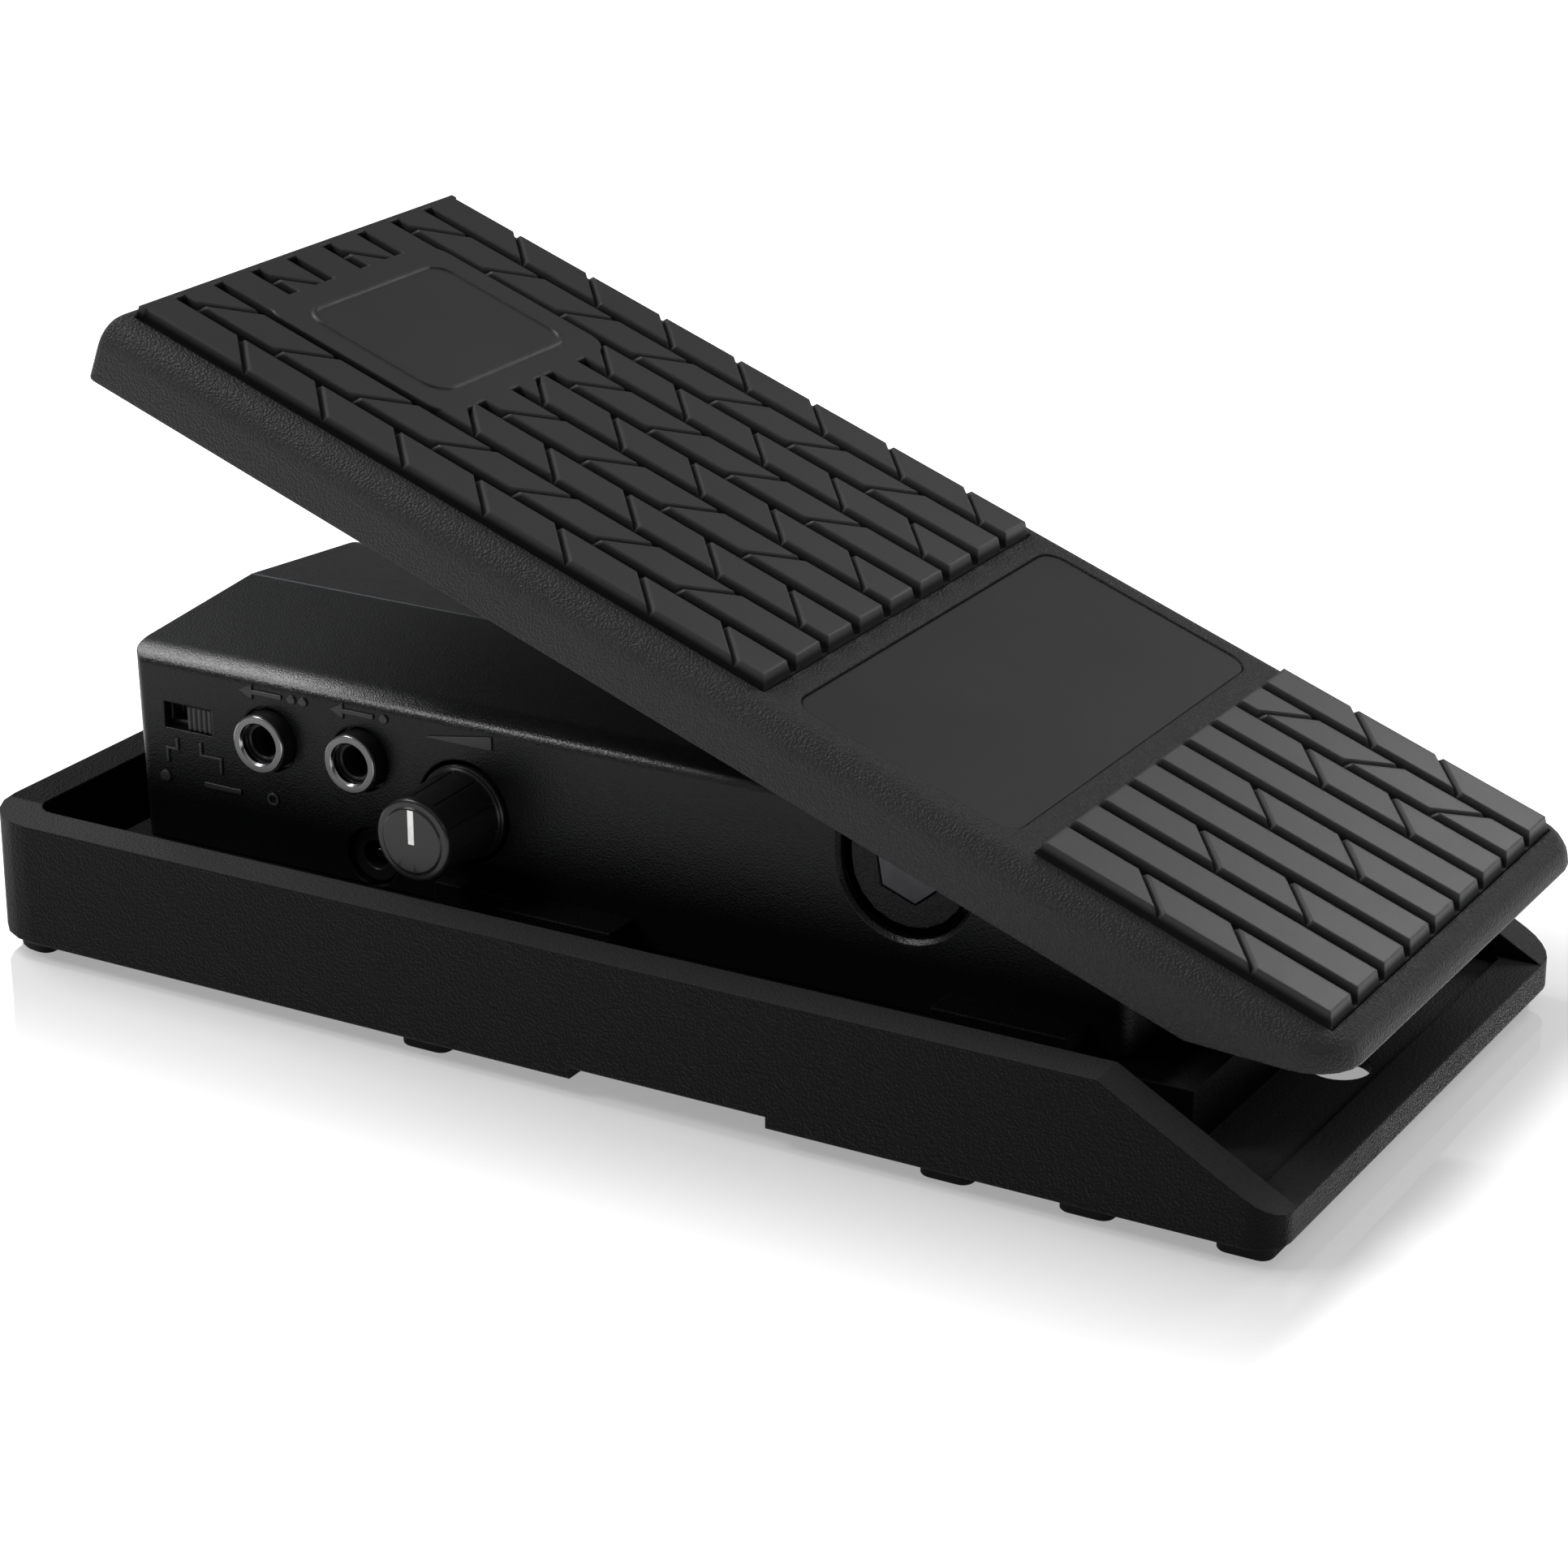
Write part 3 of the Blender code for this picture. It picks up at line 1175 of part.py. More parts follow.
def sector_screw_places():
    """(x, y) of the drive sector's two screws, in the treadle's frame."""
    middle = sum(SECTOR_FLANGE_ENDS) / 2
    return [(sign * SECTOR_SCREW_X, middle) for sign in (-1.0, 1.0)]


def cut_sector_screw_holes(shell):
    """Blind holes in the underside of the plate for the drive sector's screws."""
    zs = (PLATE_BOTTOM - OVERSHOOT, PLATE_BOTTOM + SECTOR_SCREW_BITE + GAP)
    for spot in sector_screw_places():
        cut(shell, post("hole", spot, SCREW_SHAFT_RADIUS + GAP, zs))


def sector_screws():
    """Two screws from below, through the flange into the plate."""
    low = PLATE_BOTTOM - GAP - SECTOR_FLANGE_THICKNESS - GAP - SCREW_HEAD_DEPTH
    high = PLATE_BOTTOM + SECTOR_SCREW_BITE
    screws = []
    for number, place in enumerate(sector_screw_places(), start=1):
        screws.append(screw(f"sector_screw_{number}", place, (low, high), head_up=False))
    return screws


def pinion_centre():
    """World (y, z) of the volume potentiometer's axis."""
    reach = SECTOR_PITCH_RADIUS + PINION_PITCH_RADIUS
    return PIVOT_Y + reach * math.cos(PINION_DIRECTION), PIVOT_Z + reach * math.sin(PINION_DIRECTION)


def drive_pinion():
    """The pinion on the potentiometer's shaft, drawn about its own axis."""
    outline = []
    for number in range(PINION_TEETH):
        middle = PINION_DIRECTION + math.pi + number * math.tau / PINION_TEETH
        outline += tooth_points(PINION_PITCH_RADIUS, PINION_TEETH, PINION_ADDENDUM, middle)
    half = SECTOR_HALF_THICKNESS + PINION_OVERHANG
    pinion = extruded("drive_pinion", outline, -half, half, "X")
    cut(pinion, rod("bore", (0.0, 0.0), POT_SHAFT_RADIUS + GAP, (-half - OVERSHOOT, half + OVERSHOOT)))
    return dress(pinion, nylon())


def volume_pot_shaft():
    """The potentiometer's shaft, drawn about its own axis."""
    start = -SECTOR_HALF_THICKNESS - OVERSHOOT
    end = POT_BRACKET_X + POT_BRACKET_SHEET + GAP + POT_DEPTH / 2
    return dress(rod("volume_pot_shaft", (0.0, 0.0), POT_SHAFT_RADIUS, (start, end)), steel())


def volume_pot_body():
    """The potentiometer's can and the bush that passes through its bracket."""
    centre = pinion_centre()
    face = POT_BRACKET_X + POT_BRACKET_SHEET + GAP
    body = rod("volume_pot_body", centre, POT_RADIUS, (face, face + POT_DEPTH), ROUND_STEPS)
    bush_start = SECTOR_HALF_THICKNESS + OVERSHOOT
    add(body, rod("bush", centre, POT_BUSH_RADIUS, (bush_start, face + OVERSHOOT)))
    bore = (bush_start - OVERSHOOT, face + POT_DEPTH / 2 + GAP)
    cut(body, rod("bore", centre, POT_SHAFT_RADIUS + GAP, bore))
    return dress(body, black_component())


def pot_bracket_screw_place():
    """(x, y) of the screw in the potentiometer bracket's foot."""
    x = POT_BRACKET_X + POT_BRACKET_FOOT - POT_SCREW_INSET
    return x, pinion_centre()[0] + POT_SCREW_INSET


def pot_bracket():
    """An angle bracket that holds the potentiometer above the plinth."""
    y, z = pinion_centre()
    bottom = PLINTH_TOP + GAP
    ends = (y - POT_BRACKET_HALF_LENGTH, y + POT_BRACKET_HALF_LENGTH)
    sheet = (POT_BRACKET_X, POT_BRACKET_X + POT_BRACKET_SHEET)
    bracket = block("pot_bracket", sheet, ends, (bottom, POT_BRACKET_TOP))
    foot = (POT_BRACKET_X, POT_BRACKET_X + POT_BRACKET_FOOT)
    add(bracket, block("foot", foot, ends, (bottom, bottom + POT_BRACKET_SHEET)))
    hole = (POT_BRACKET_X - OVERSHOOT, POT_BRACKET_X + POT_BRACKET_SHEET + OVERSHOOT)
    cut(bracket, rod("hole", (y, z), POT_BUSH_RADIUS + GAP, hole))
    zs = (bottom - OVERSHOOT, bottom + POT_BRACKET_SHEET + OVERSHOOT)
    cut(bracket, post("hole", pot_bracket_screw_place(), SCREW_HOLE_RADIUS, zs))
    return dress(bracket, steel())


# ---------------------------------------------------------------- electronics


def circuit_board():
    """The board that carries the sockets, with a corner left free for the pot and screws."""
    top = JACK_Z - JACK_BODY_HALF_HEIGHT - GAP
    board = block("circuit_board", (-BOARD_HALF_WIDTH, BOARD_HALF_WIDTH), BOARD_ENDS,
                  (top - BOARD_THICKNESS, top))
    return dress(board, board_laminate())


def jack(name, sign, y):
    """A 6.35 mm socket: a body on the board and a collar through the housing's wall."""
    inner = JACK_BODY_INNER_X
    outer = HOUSING_HALF_WIDTH - HOUSING_WALL - GAP
    xs = sorted((sign * inner, sign * outer))
    zs = (JACK_Z - JACK_BODY_HALF_HEIGHT, JACK_Z + JACK_BODY_HALF_HEIGHT)
    body = block(name, xs, (y - JACK_BODY_HALF_WIDTH, y + JACK_BODY_HALF_WIDTH), zs)
    collar = sorted((sign * (outer - OVERSHOOT), sign * JACK_FACE_X))
    add(body, rod("collar", (y, JACK_Z), JACK_COLLAR_RADIUS, collar, ROUND_STEPS))
    bore = sorted((sign * (inner + SKIN), sign * (JACK_FACE_X + OVERSHOOT)))
    cut(body, rod("bore", (y, JACK_Z), JACK_BORE_RADIUS, bore))
    seat = sorted((sign * (JACK_FACE_X - JACK_RING_DEPTH), sign * (JACK_FACE_X + OVERSHOOT)))
    cut(body, rod("seat", (y, JACK_Z), JACK_RING_OUTER + GAP, seat, ROUND_STEPS))
    return dress(body, black_component())


def jack_ring(name, sign, y):
    """The bright ring set in a socket's mouth."""
    span = sorted((sign * (JACK_FACE_X - JACK_RING_DEPTH + GAP), sign * (JACK_FACE_X + GAP)))
    ring = rod(name, (y, JACK_Z), JACK_RING_OUTER, span, ROUND_STEPS)
    through = (span[0] - OVERSHOOT, span[1] + OVERSHOOT)
    cut(ring, rod("bore", (y, JACK_Z), JACK_RING_INNER, through, ROUND_STEPS))
    return dress(ring, chrome())


def sockets():
    """Two output sockets on the left and two input sockets on the right, with their rings."""
    for side, sign in (("output", -1.0), ("input", 1.0)):
        for number, y in enumerate(JACK_YS, start=1):
            jack(f"{side}_jack_{number}", sign, y)
            jack_ring(f"{side}_jack_ring_{number}", sign, y)


def power_jack():
    """The direct-current power socket, set back in its hole."""
    centre = (POWER_Y, POWER_Z)
    body = rod("power_jack", centre, POWER_BODY_RADIUS, (-POWER_FACE_X, -POWER_INNER_X), ROUND_STEPS)
    bore = (-POWER_FACE_X - OVERSHOOT, -POWER_INNER_X - SKIN)
    cut(body, rod("bore", centre, POWER_BORE_RADIUS, bore))
    return dress(body, black_component())


def power_jack_pin():
    """The centre contact of the power socket."""
    span = (-POWER_FACE_X + OVERSHOOT, -POWER_INNER_X - SKIN - GAP)
    return dress(rod("power_jack_pin", (POWER_Y, POWER_Z), POWER_PIN_RADIUS, span, THIN_STEPS), chrome())


# ---------------------------------------------------------------- minimum volume


def min_volume_pot_body():
    """The minimum-volume potentiometer behind its opening."""
    centre = (MIN_Y, MIN_Z)
    span = (-MIN_POT_FACE_X, -MIN_POT_INNER_X)
    body = rod("min_volume_pot_body", centre, MIN_POT_RADIUS, span, ROUND_STEPS)
    bore = (-MIN_POT_FACE_X - OVERSHOOT, -MIN_POT_INNER_X - SKIN)
    cut(body, rod("bore", centre, MIN_SHAFT_RADIUS + GAP, bore))
    return dress(body, black_component())


def min_volume_shaft():
    """The control's shaft, drawn about its own axis."""
    span = (-KNOB_BACK_X - KNOB_BORE_DEPTH + GAP, -MIN_POT_INNER_X - SKIN - GAP)
    return dress(rod("min_volume_shaft", (0.0, 0.0), MIN_SHAFT_RADIUS, span), steel())


def min_volume_knob():
    """A tapered knob with a stepped skirt, drawn about its own axis."""
    skirt = KNOB_BACK_X + KNOB_SKIRT_DEPTH
    profile = [
        (-KNOB_BACK_X, 0.0),
        (-KNOB_BACK_X, KNOB_SKIRT_RADIUS),
        (-skirt, KNOB_SKIRT_RADIUS),
        (-skirt, KNOB_STEP_RADIUS),
        (-skirt - KNOB_SKIRT_DEPTH / 2, KNOB_STEP_RADIUS),
        (-skirt - KNOB_SKIRT_DEPTH / 2, KNOB_ROOT_RADIUS),
        (-KNOB_FACE_X + KNOB_EDGE, KNOB_FACE_RADIUS),
        (-KNOB_FACE_X, KNOB_FACE_RADIUS - KNOB_EDGE),
        (-KNOB_FACE_X, 0.0),
    ]
    knob = turned("min_volume_knob", profile)
    bore = (-KNOB_BACK_X - KNOB_BORE_DEPTH, -KNOB_BACK_X + OVERSHOOT)
    cut(knob, rod("bore", (0.0, 0.0), MIN_SHAFT_RADIUS + GAP, bore))
    half = POINTER_HALF_WIDTH + GAP / 2
    slot_xs = (-KNOB_FACE_X - OVERSHOOT, -KNOB_FACE_X + POINTER_DEPTH + GAP / 2)
    slot_zs = (POINTER_INNER - GAP / 2, POINTER_OUTER + GAP / 2)
    cut(knob, block("pointer_slot", slot_xs, (-half, half), slot_zs))
    return dress(knob, knob_plastic())


def min_volume_pointer():
    """The white pointer let into the knob's face."""
    xs = (-KNOB_FACE_X - POINTER_STAND, -KNOB_FACE_X + POINTER_DEPTH)
    zs = (POINTER_INNER, POINTER_OUTER)
    pointer = block("min_volume_pointer", xs, (-POINTER_HALF_WIDTH, POINTER_HALF_WIDTH), zs)
    return dress(pointer, pointer_white())


# ---------------------------------------------------------------- mode switch


def switch_middle_z():
    return sum(SWITCH_WINDOW_ZS) / 2


def mode_switch_body():
    """The slide switch behind its window, with the slot that its stem runs in."""
    ys = (SWITCH_WINDOW_YS[0] - SWITCH_BODY_MARGIN, SWITCH_WINDOW_YS[1] + SWITCH_BODY_MARGIN)
    zs = (SWITCH_WINDOW_ZS[0] - SWITCH_BODY_MARGIN, SWITCH_WINDOW_ZS[1] + SWITCH_BODY_MARGIN)
    body = block("mode_switch_body", (-SWITCH_BODY_OUTER_X, -SWITCH_BODY_INNER_X), ys, zs)
    half = SLIDER_STEM_HALF_HEIGHT + GAP
    slot_xs = (-SWITCH_BODY_OUTER_X - OVERSHOOT, -SWITCH_BODY_OUTER_X + SLIDER_STEM_DEPTH + GAP)
    slot_zs = (switch_middle_z() - half, switch_middle_z() + half)
    cut(body, block("slot", slot_xs, SWITCH_WINDOW_YS, slot_zs))
    return dress(body, black_component())


def mode_switch_slider():
    """The slider's cap in the window and its stem; its origin is the cap's centre."""
    origin_y = SWITCH_WINDOW_YS[0] + GAP + SLIDER_LENGTH / 2
    half_height = (SWITCH_WINDOW_ZS[1] - SWITCH_WINDOW_ZS[0]) / 2 - GAP
    cap_xs = (-SLIDER_FACE_X, -SWITCH_BODY_OUTER_X - GAP)
    cap_ys = (-SLIDER_LENGTH / 2, SLIDER_LENGTH / 2)
    slider = block("mode_switch_slider", cap_xs, cap_ys, (-half_height, half_height))
    stem_xs = (-SLIDER_FACE_X + OVERSHOOT, -SWITCH_BODY_OUTER_X + SLIDER_STEM_DEPTH)
    stem_ys = (-SLIDER_STEM_LENGTH / 2, SLIDER_STEM_LENGTH / 2)
    stem_zs = (-SLIDER_STEM_HALF_HEIGHT, SLIDER_STEM_HALF_HEIGHT)
    add(slider, block("stem", stem_xs, stem_ys, stem_zs))
    slider.location = (0.0, origin_y, switch_middle_z())
    return dress(slider, black_component())


# ---------------------------------------------------------------- assembly


def build_base():
    base_tray()
    for name, place in foot_places():
        rubber_foot(name, place)
    housing_shell()
    housing_screws()
    pivot_bracket()
    bracket_screws()
    pivot_sleeve()
    pot_bracket()
    volume_pot_body()
    pot_screw_low = PLINTH_TOP - SKIN + GAP
    pot_screw_top = PLINTH_TOP + GAP + POT_BRACKET_SHEET + GAP + SCREW_HEAD_DEPTH
    screw("pot_bracket_screw", pot_bracket_screw_place(), (pot_screw_low, pot_screw_top), head_up=True)
    circuit_board()
    sockets()
    power_jack()
    power_jack_pin()
    min_volume_pot_body()
    mode_switch_body()


def build_treadle():
    axis = axis_empty("treadle_axis", (0.0, PIVOT_Y, PIVOT_Z), REST_TILT)
    pieces = [treadle_shell(), toe_tread_pad(), heel_tread_pad(), label_plate(), drive_sector()]
    pieces += [pivot_bolt(), pivot_nut()]
    pieces += sector_screws() + stop_pads()
    hang(pieces, axis)


def build_controls():
    volume_axis = axis_empty("volume_pot_axis", (0.0, *pinion_centre()))
    hang([drive_pinion(), volume_pot_shaft()], volume_axis)
    knob_axis = axis_empty("min_volume_axis", (0.0, MIN_Y, MIN_Z))
    hang([min_volume_shaft(), min_volume_knob(), min_volume_pointer()], knob_axis)
    mode_switch_slider()


def centre_on_length():
    """Hang the model from an empty that puts the origin under the middle of its overall length."""
    bpy.context.view_layer.update()
    reach = []
    for item in bpy.data.objects:
        if item.type == "MESH":
            reach += [(item.matrix_world @ vertex.co).y for vertex in item.data.vertices]
    loose = [item for item in bpy.data.objects if item.parent is None]
    hang(loose, axis_empty("model_origin", (0.0, -(min(reach) + max(reach)) / 2, 0.0)))


def main():
    clear_scene()
    build_base()
    build_treadle()
    build_controls()
    centre_on_length()


main()
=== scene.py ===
"""Looks of the foot-operated volume pedal: softened edges, procedural materials, small raised detail,
a pale floor, soft light and the camera.

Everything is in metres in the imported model's frame: +Z up, +Y to the toe, and -X to the output side,
which carries the sockets, the knob and the switch.
"""

import math

import bmesh
import bpy
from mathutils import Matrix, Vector
from mathutils.bvhtree import BVHTree


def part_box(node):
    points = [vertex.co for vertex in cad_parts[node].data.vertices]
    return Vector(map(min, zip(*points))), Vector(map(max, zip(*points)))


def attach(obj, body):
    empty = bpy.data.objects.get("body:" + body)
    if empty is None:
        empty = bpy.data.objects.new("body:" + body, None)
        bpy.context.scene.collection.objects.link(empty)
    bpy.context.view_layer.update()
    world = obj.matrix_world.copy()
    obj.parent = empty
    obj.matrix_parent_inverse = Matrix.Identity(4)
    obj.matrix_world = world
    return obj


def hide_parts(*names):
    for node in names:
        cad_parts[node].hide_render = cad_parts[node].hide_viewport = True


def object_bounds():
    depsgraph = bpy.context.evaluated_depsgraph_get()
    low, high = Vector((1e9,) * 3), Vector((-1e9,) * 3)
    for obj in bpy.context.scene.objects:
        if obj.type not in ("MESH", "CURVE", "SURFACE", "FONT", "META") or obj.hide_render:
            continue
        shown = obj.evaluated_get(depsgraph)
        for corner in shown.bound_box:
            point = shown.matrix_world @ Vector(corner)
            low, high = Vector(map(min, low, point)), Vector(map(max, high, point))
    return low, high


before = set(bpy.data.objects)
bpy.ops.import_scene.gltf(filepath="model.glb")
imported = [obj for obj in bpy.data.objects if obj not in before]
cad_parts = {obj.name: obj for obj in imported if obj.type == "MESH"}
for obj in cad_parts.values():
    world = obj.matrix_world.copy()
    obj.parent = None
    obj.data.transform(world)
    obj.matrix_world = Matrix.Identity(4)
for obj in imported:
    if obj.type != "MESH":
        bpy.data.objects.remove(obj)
cad_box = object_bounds()

MM = 0.001

# Mesh finishing
WELD = 0.002 * MM
FLAT_ANGLE = math.radians(0.4)      # faces that meet flatter than this are one face
EDGE_ANGLE = math.radians(26.0)     # edges sharper than this are rounded
SMOOTH_ANGLE = math.radians(34.0)
RIDGE_ANGLE = math.radians(5.0)     # the roof's ridge is sharper than this
RING_SMOOTH_ANGLE = math.radians(40.0)
RIB_SMOOTH_ANGLE = math.radians(50.0)
MARK_EDGE_ANGLE = math.radians(50.0)
NORMAL_WEIGHT = 60

# Camera
CAMERA_PLACE = (-0.67304, -0.38991, 0.34327)
CAMERA_YAW = math.radians(29.886)
CAMERA_PITCH = math.radians(21.194)
SENSOR = 36.0
FOCAL_PIXELS = 5145.6
FRAME_PIXELS = 1932
CLIP_START = 10.0 * MM


# ---------------------------------------------------------------- node building

def node(tree, kind, inputs=None, **settings):
    """A new shader node with its settings, and its inputs linked or set."""
    made = tree.nodes.new(kind)
    for key, value in settings.items():
        setattr(made, key, value)
    for key, value in (inputs or {}).items():
        socket = made.inputs[key]
        if isinstance(value, bpy.types.NodeSocket):
            tree.links.new(value, socket)
        else:
            socket.default_value = value
    return made


def maths(tree, operation, first, second=0.0, clamp=False):
    """One step of arithmetic on numbers."""
    inputs = {0: first, 1: second}
    return node(tree, "ShaderNodeMath", inputs, operation=operation, use_clamp=clamp).outputs[0]


def added(tree, first, second, share):
    """The first number plus a share of the second."""
    return maths(tree, "ADD", first, maths(tree, "MULTIPLY", second, share))


def vectors(tree, operation, first, second):
    """One step of arithmetic on vectors."""
    return node(tree, "ShaderNodeVectorMath", {0: first, 1: second}, operation=operation).outputs["Vector"]


def dot(tree, first, second):
    """The dot product of two vectors."""
    return node(tree, "ShaderNodeVectorMath", {0: first, 1: second}, operation="DOT_PRODUCT").outputs["Value"]


def part_of(tree, vector, axis):
    """The X, Y or Z of a vector."""
    return node(tree, "ShaderNodeSeparateXYZ", {"Vector": vector}).outputs[axis]


def facing(tree, axis):
    """How far the surface faces along X, Y or Z."""
    return part_of(tree, node(tree, "ShaderNodeTexCoord").outputs["Normal"], axis)


def ranged(tree, value, low, high, to_low, to_high, smooth=False):
    """A value between low and high, mapped to between to_low and to_high."""
    kind = "SMOOTHSTEP" if smooth else "LINEAR"
    inputs = {"Value": value, "From Min": low, "From Max": high, "To Min": to_low, "To Max": to_high}
    return node(tree, "ShaderNodeMapRange", inputs, interpolation_type=kind).outputs["Result"]


def noise(tree, place, size, detail=2.0, rough=0.5):
    """Noise with features of about one size."""
    inputs = {"Vector": place, "Scale": 1.0 / size, "Detail": detail, "Roughness": rough}
    return node(tree, "ShaderNodeTexNoise", inputs).outputs["Fac"]


def mixed(tree, share, first, second):
    """The first colour, going to the second as share goes to 1."""
    made = node(tree, "ShaderNodeMix", data_type="RGBA")
    sockets = {0: share, 6: first, 7: second}
    for index, value in sockets.items():
        if isinstance(value, bpy.types.NodeSocket):
            tree.links.new(value, made.inputs[index])
        else:
            made.inputs[index].default_value = value
    return made.outputs[2]


def bumped(tree, height, strength, distance):
    """The surface's normal, tilted by a height."""
    inputs = {"Height": height, "Strength": strength, "Distance": distance}
    return node(tree, "ShaderNodeBump", inputs).outputs["Normal"]


def grey(value, tint=(1.0, 1.0, 1.0)):
    """A grey of one value, coloured slightly by a tint."""
    return (value * tint[0], value * tint[1], value * tint[2], 1.0)


def new_material(name):
    """An empty material, its node tree and the place on the object."""
    material = bpy.data.materials.new(name)
    material.use_nodes = True
    material.node_tree.nodes.clear()
    tree = material.node_tree
    place = node(tree, "ShaderNodeTexCoord").outputs["Object"]
    return material, tree, place


def finish_material(tree, inputs):
    """Ends a node tree with one Principled shader."""
    shader = node(tree, "ShaderNodeBsdfPrincipled", inputs)
    node(tree, "ShaderNodeOutputMaterial", {"Surface": shader.outputs["BSDF"]})


# The groups of four numbers below are what ranged() maps from and to: low, high, to low, to high.
# The shares and shades are of the grain's size or of the base tone.

NO_TINT = (1.0, 1.0, 1.0)
EDGE_TURN = (0.02, 0.30, 0.0, 1.0)
EDGE_SAMPLES = 4

PEBBLE_WARP_PITCH = 0.6
PEBBLE_WARP_REACH = 0.55
PEBBLE_SOFTNESS = 0.5
PEBBLE_DOME = (0.1, 0.75, 1.0, 0.0)
PEBBLE_FINE_SIZE = 0.35
PEBBLE_FINE_SHARE = 0.45

BROAD_SIZE = 38.0 * MM
PATCH_SIZE = 7.0 * MM
SPECK_SIZE = 0.9 * MM
WEAR_PATCHES = (0.25, 0.7, 0.45, 1.0)
BROAD_TONE = (0.3, 0.7, 0.0, 0.5)
SPECK_TONE = (0.35, 0.75, 0.0, 1.0)
SPECK_SHARE = 0.35
DARK_SHADE = 0.82
PALE_SHADE = 1.22
HOLLOW_SHADE = 0.55
HOLLOW_DARKENING = (0.1, 1.2, 0.22, 0.0)
GLOSS_PATCHES = (0.25, 0.75)
GLOSS_SPREAD = 0.02
PATCH_GLOSS = 0.06
WORN_GLOSS = 0.10

# The tray's tops are painted paler, as painted light from above, beyond this distance from the mid-plane, or
# heelward of this place
RIM_INNER_X = 58.0 * MM
HEEL_ZONE_Y = -108.0 * MM
HEEL_ZONE_FADE = 3.0 * MM
TOP_FACING = (0.4, 0.95, 0.0, 1.0)
TOP_SPECKS = (0.2, 0.8, 0.7, 1.0)

# A painted highlight along the roof's ridge: a pale line
RIDGE_ACROSS = (0.15 * MM, 0.50 * MM, 0.9, 0.0)
ROOF_FACING = (0.8, 0.9, 0.0, 1.0)
RIDGE_HIGHLIGHT_TONE = 3.0

# Painted shade at the bottom of the treads' grooves: heights above the pivot, square to the treadle
REST_TILT = math.radians(20.2)
PIVOT = (0.0, -53.03 * MM, 49.0 * MM)
TREADLE_UP = (0.0, -math.sin(REST_TILT), math.cos(REST_TILT))
GROOVE_SHADE_RISE = (25.2 * MM, 26.8 * MM, 0.85, 0.0)
GROOVE_SHADE = 0.2

# Painted light: the treads are painted lighter toward the heel, between these two places
LIGHT_GRADIENT_TOE_Y = 110.0 * MM
LIGHT_GRADIENT_HEEL_Y = -140.0 * MM

# The housing's long shoulder, which hands polish, faces both sideways and up
SHOULDER_FACING = (0.15, 0.42)


def edge_mask(tree, rounded):
    """1 along edges, where the rounded normal turns away from the surface's own."""
    own = node(tree, "ShaderNodeNewGeometry").outputs["True Normal"]
    return ranged(tree, maths(tree, "SUBTRACT", 1.0, dot(tree, rounded, own)), *EDGE_TURN, smooth=True)


def leather_height(tree, place, grain):
    """Height of a moulded pebble grain: slightly warped cells with fine noise on them."""
    inputs = {"Vector": place, "Scale": PEBBLE_WARP_PITCH / grain, "Detail": 1.0}
    warp = node(tree, "ShaderNodeTexNoise", inputs).outputs["Color"]
    reach = grain * PEBBLE_WARP_REACH
    either_way = vectors(tree, "SUBTRACT", warp, (0.5, 0.5, 0.5))
    warped = vectors(tree, "ADD", place, vectors(tree, "MULTIPLY", either_way, (reach, reach, reach)))
    inputs = {"Vector": warped, "Scale": 1.0 / grain, "Smoothness": PEBBLE_SOFTNESS}
    cells = node(tree, "ShaderNodeTexVoronoi", inputs, feature="SMOOTH_F1").outputs["Distance"]
    pebble = ranged(tree, cells, *PEBBLE_DOME, smooth=True)
    fine = noise(tree, place, grain * PEBBLE_FINE_SIZE, detail=3.0, rough=0.6)
    return added(tree, pebble, fine, PEBBLE_FINE_SHARE)


def painted_lit_tops(tree, place, speck):
    """1 on the tray's rim tops and on its heel end where they face up: painted light, broken by specks."""
    lit_up = maths(tree, "MULTIPLY", ranged(tree, facing(tree, "Z"), *TOP_FACING, smooth=True),
                    ranged(tree, speck, *TOP_SPECKS))
    aside = maths(tree, "ABSOLUTE", part_of(tree, place, "X"))
    outward = ranged(tree, aside, RIM_INNER_X - MM, RIM_INNER_X, 0.0, 1.0)
    heelward = ranged(tree, part_of(tree, place, "Y"), HEEL_ZONE_Y, HEEL_ZONE_Y - HEEL_ZONE_FADE, 0.0, 1.0)
    return maths(tree, "MULTIPLY", lit_up, maths(tree, "MAXIMUM", outward, heelward))


def ridge_painted_highlight(tree, place):
    """A narrow painted highlight along the mid-plane, on faces that look up only."""
    aside = maths(tree, "ABSOLUTE", part_of(tree, place, "X"))
    line = ranged(tree, aside, *RIDGE_ACROSS, smooth=True)
    return maths(tree, "MULTIPLY", line, ranged(tree, facing(tree, "Z"), *ROOF_FACING))


def painted_groove_shade(tree, place):
    """The share of painted shade at the bottom of the treads' grooves."""
    rise = dot(tree, vectors(tree, "SUBTRACT", place, PIVOT), TREADLE_UP)
    return ranged(tree, rise, *GROOVE_SHADE_RISE, smooth=True)


def shoulder_polish(tree, amount):
    """Extra shine on faces between sideways and up."""
    both = maths(tree, "MULTIPLY", maths(tree, "ABSOLUTE", facing(tree, "X")), facing(tree, "Z"))
    return ranged(tree, both, *SHOULDER_FACING, 0.0, amount, smooth=True)


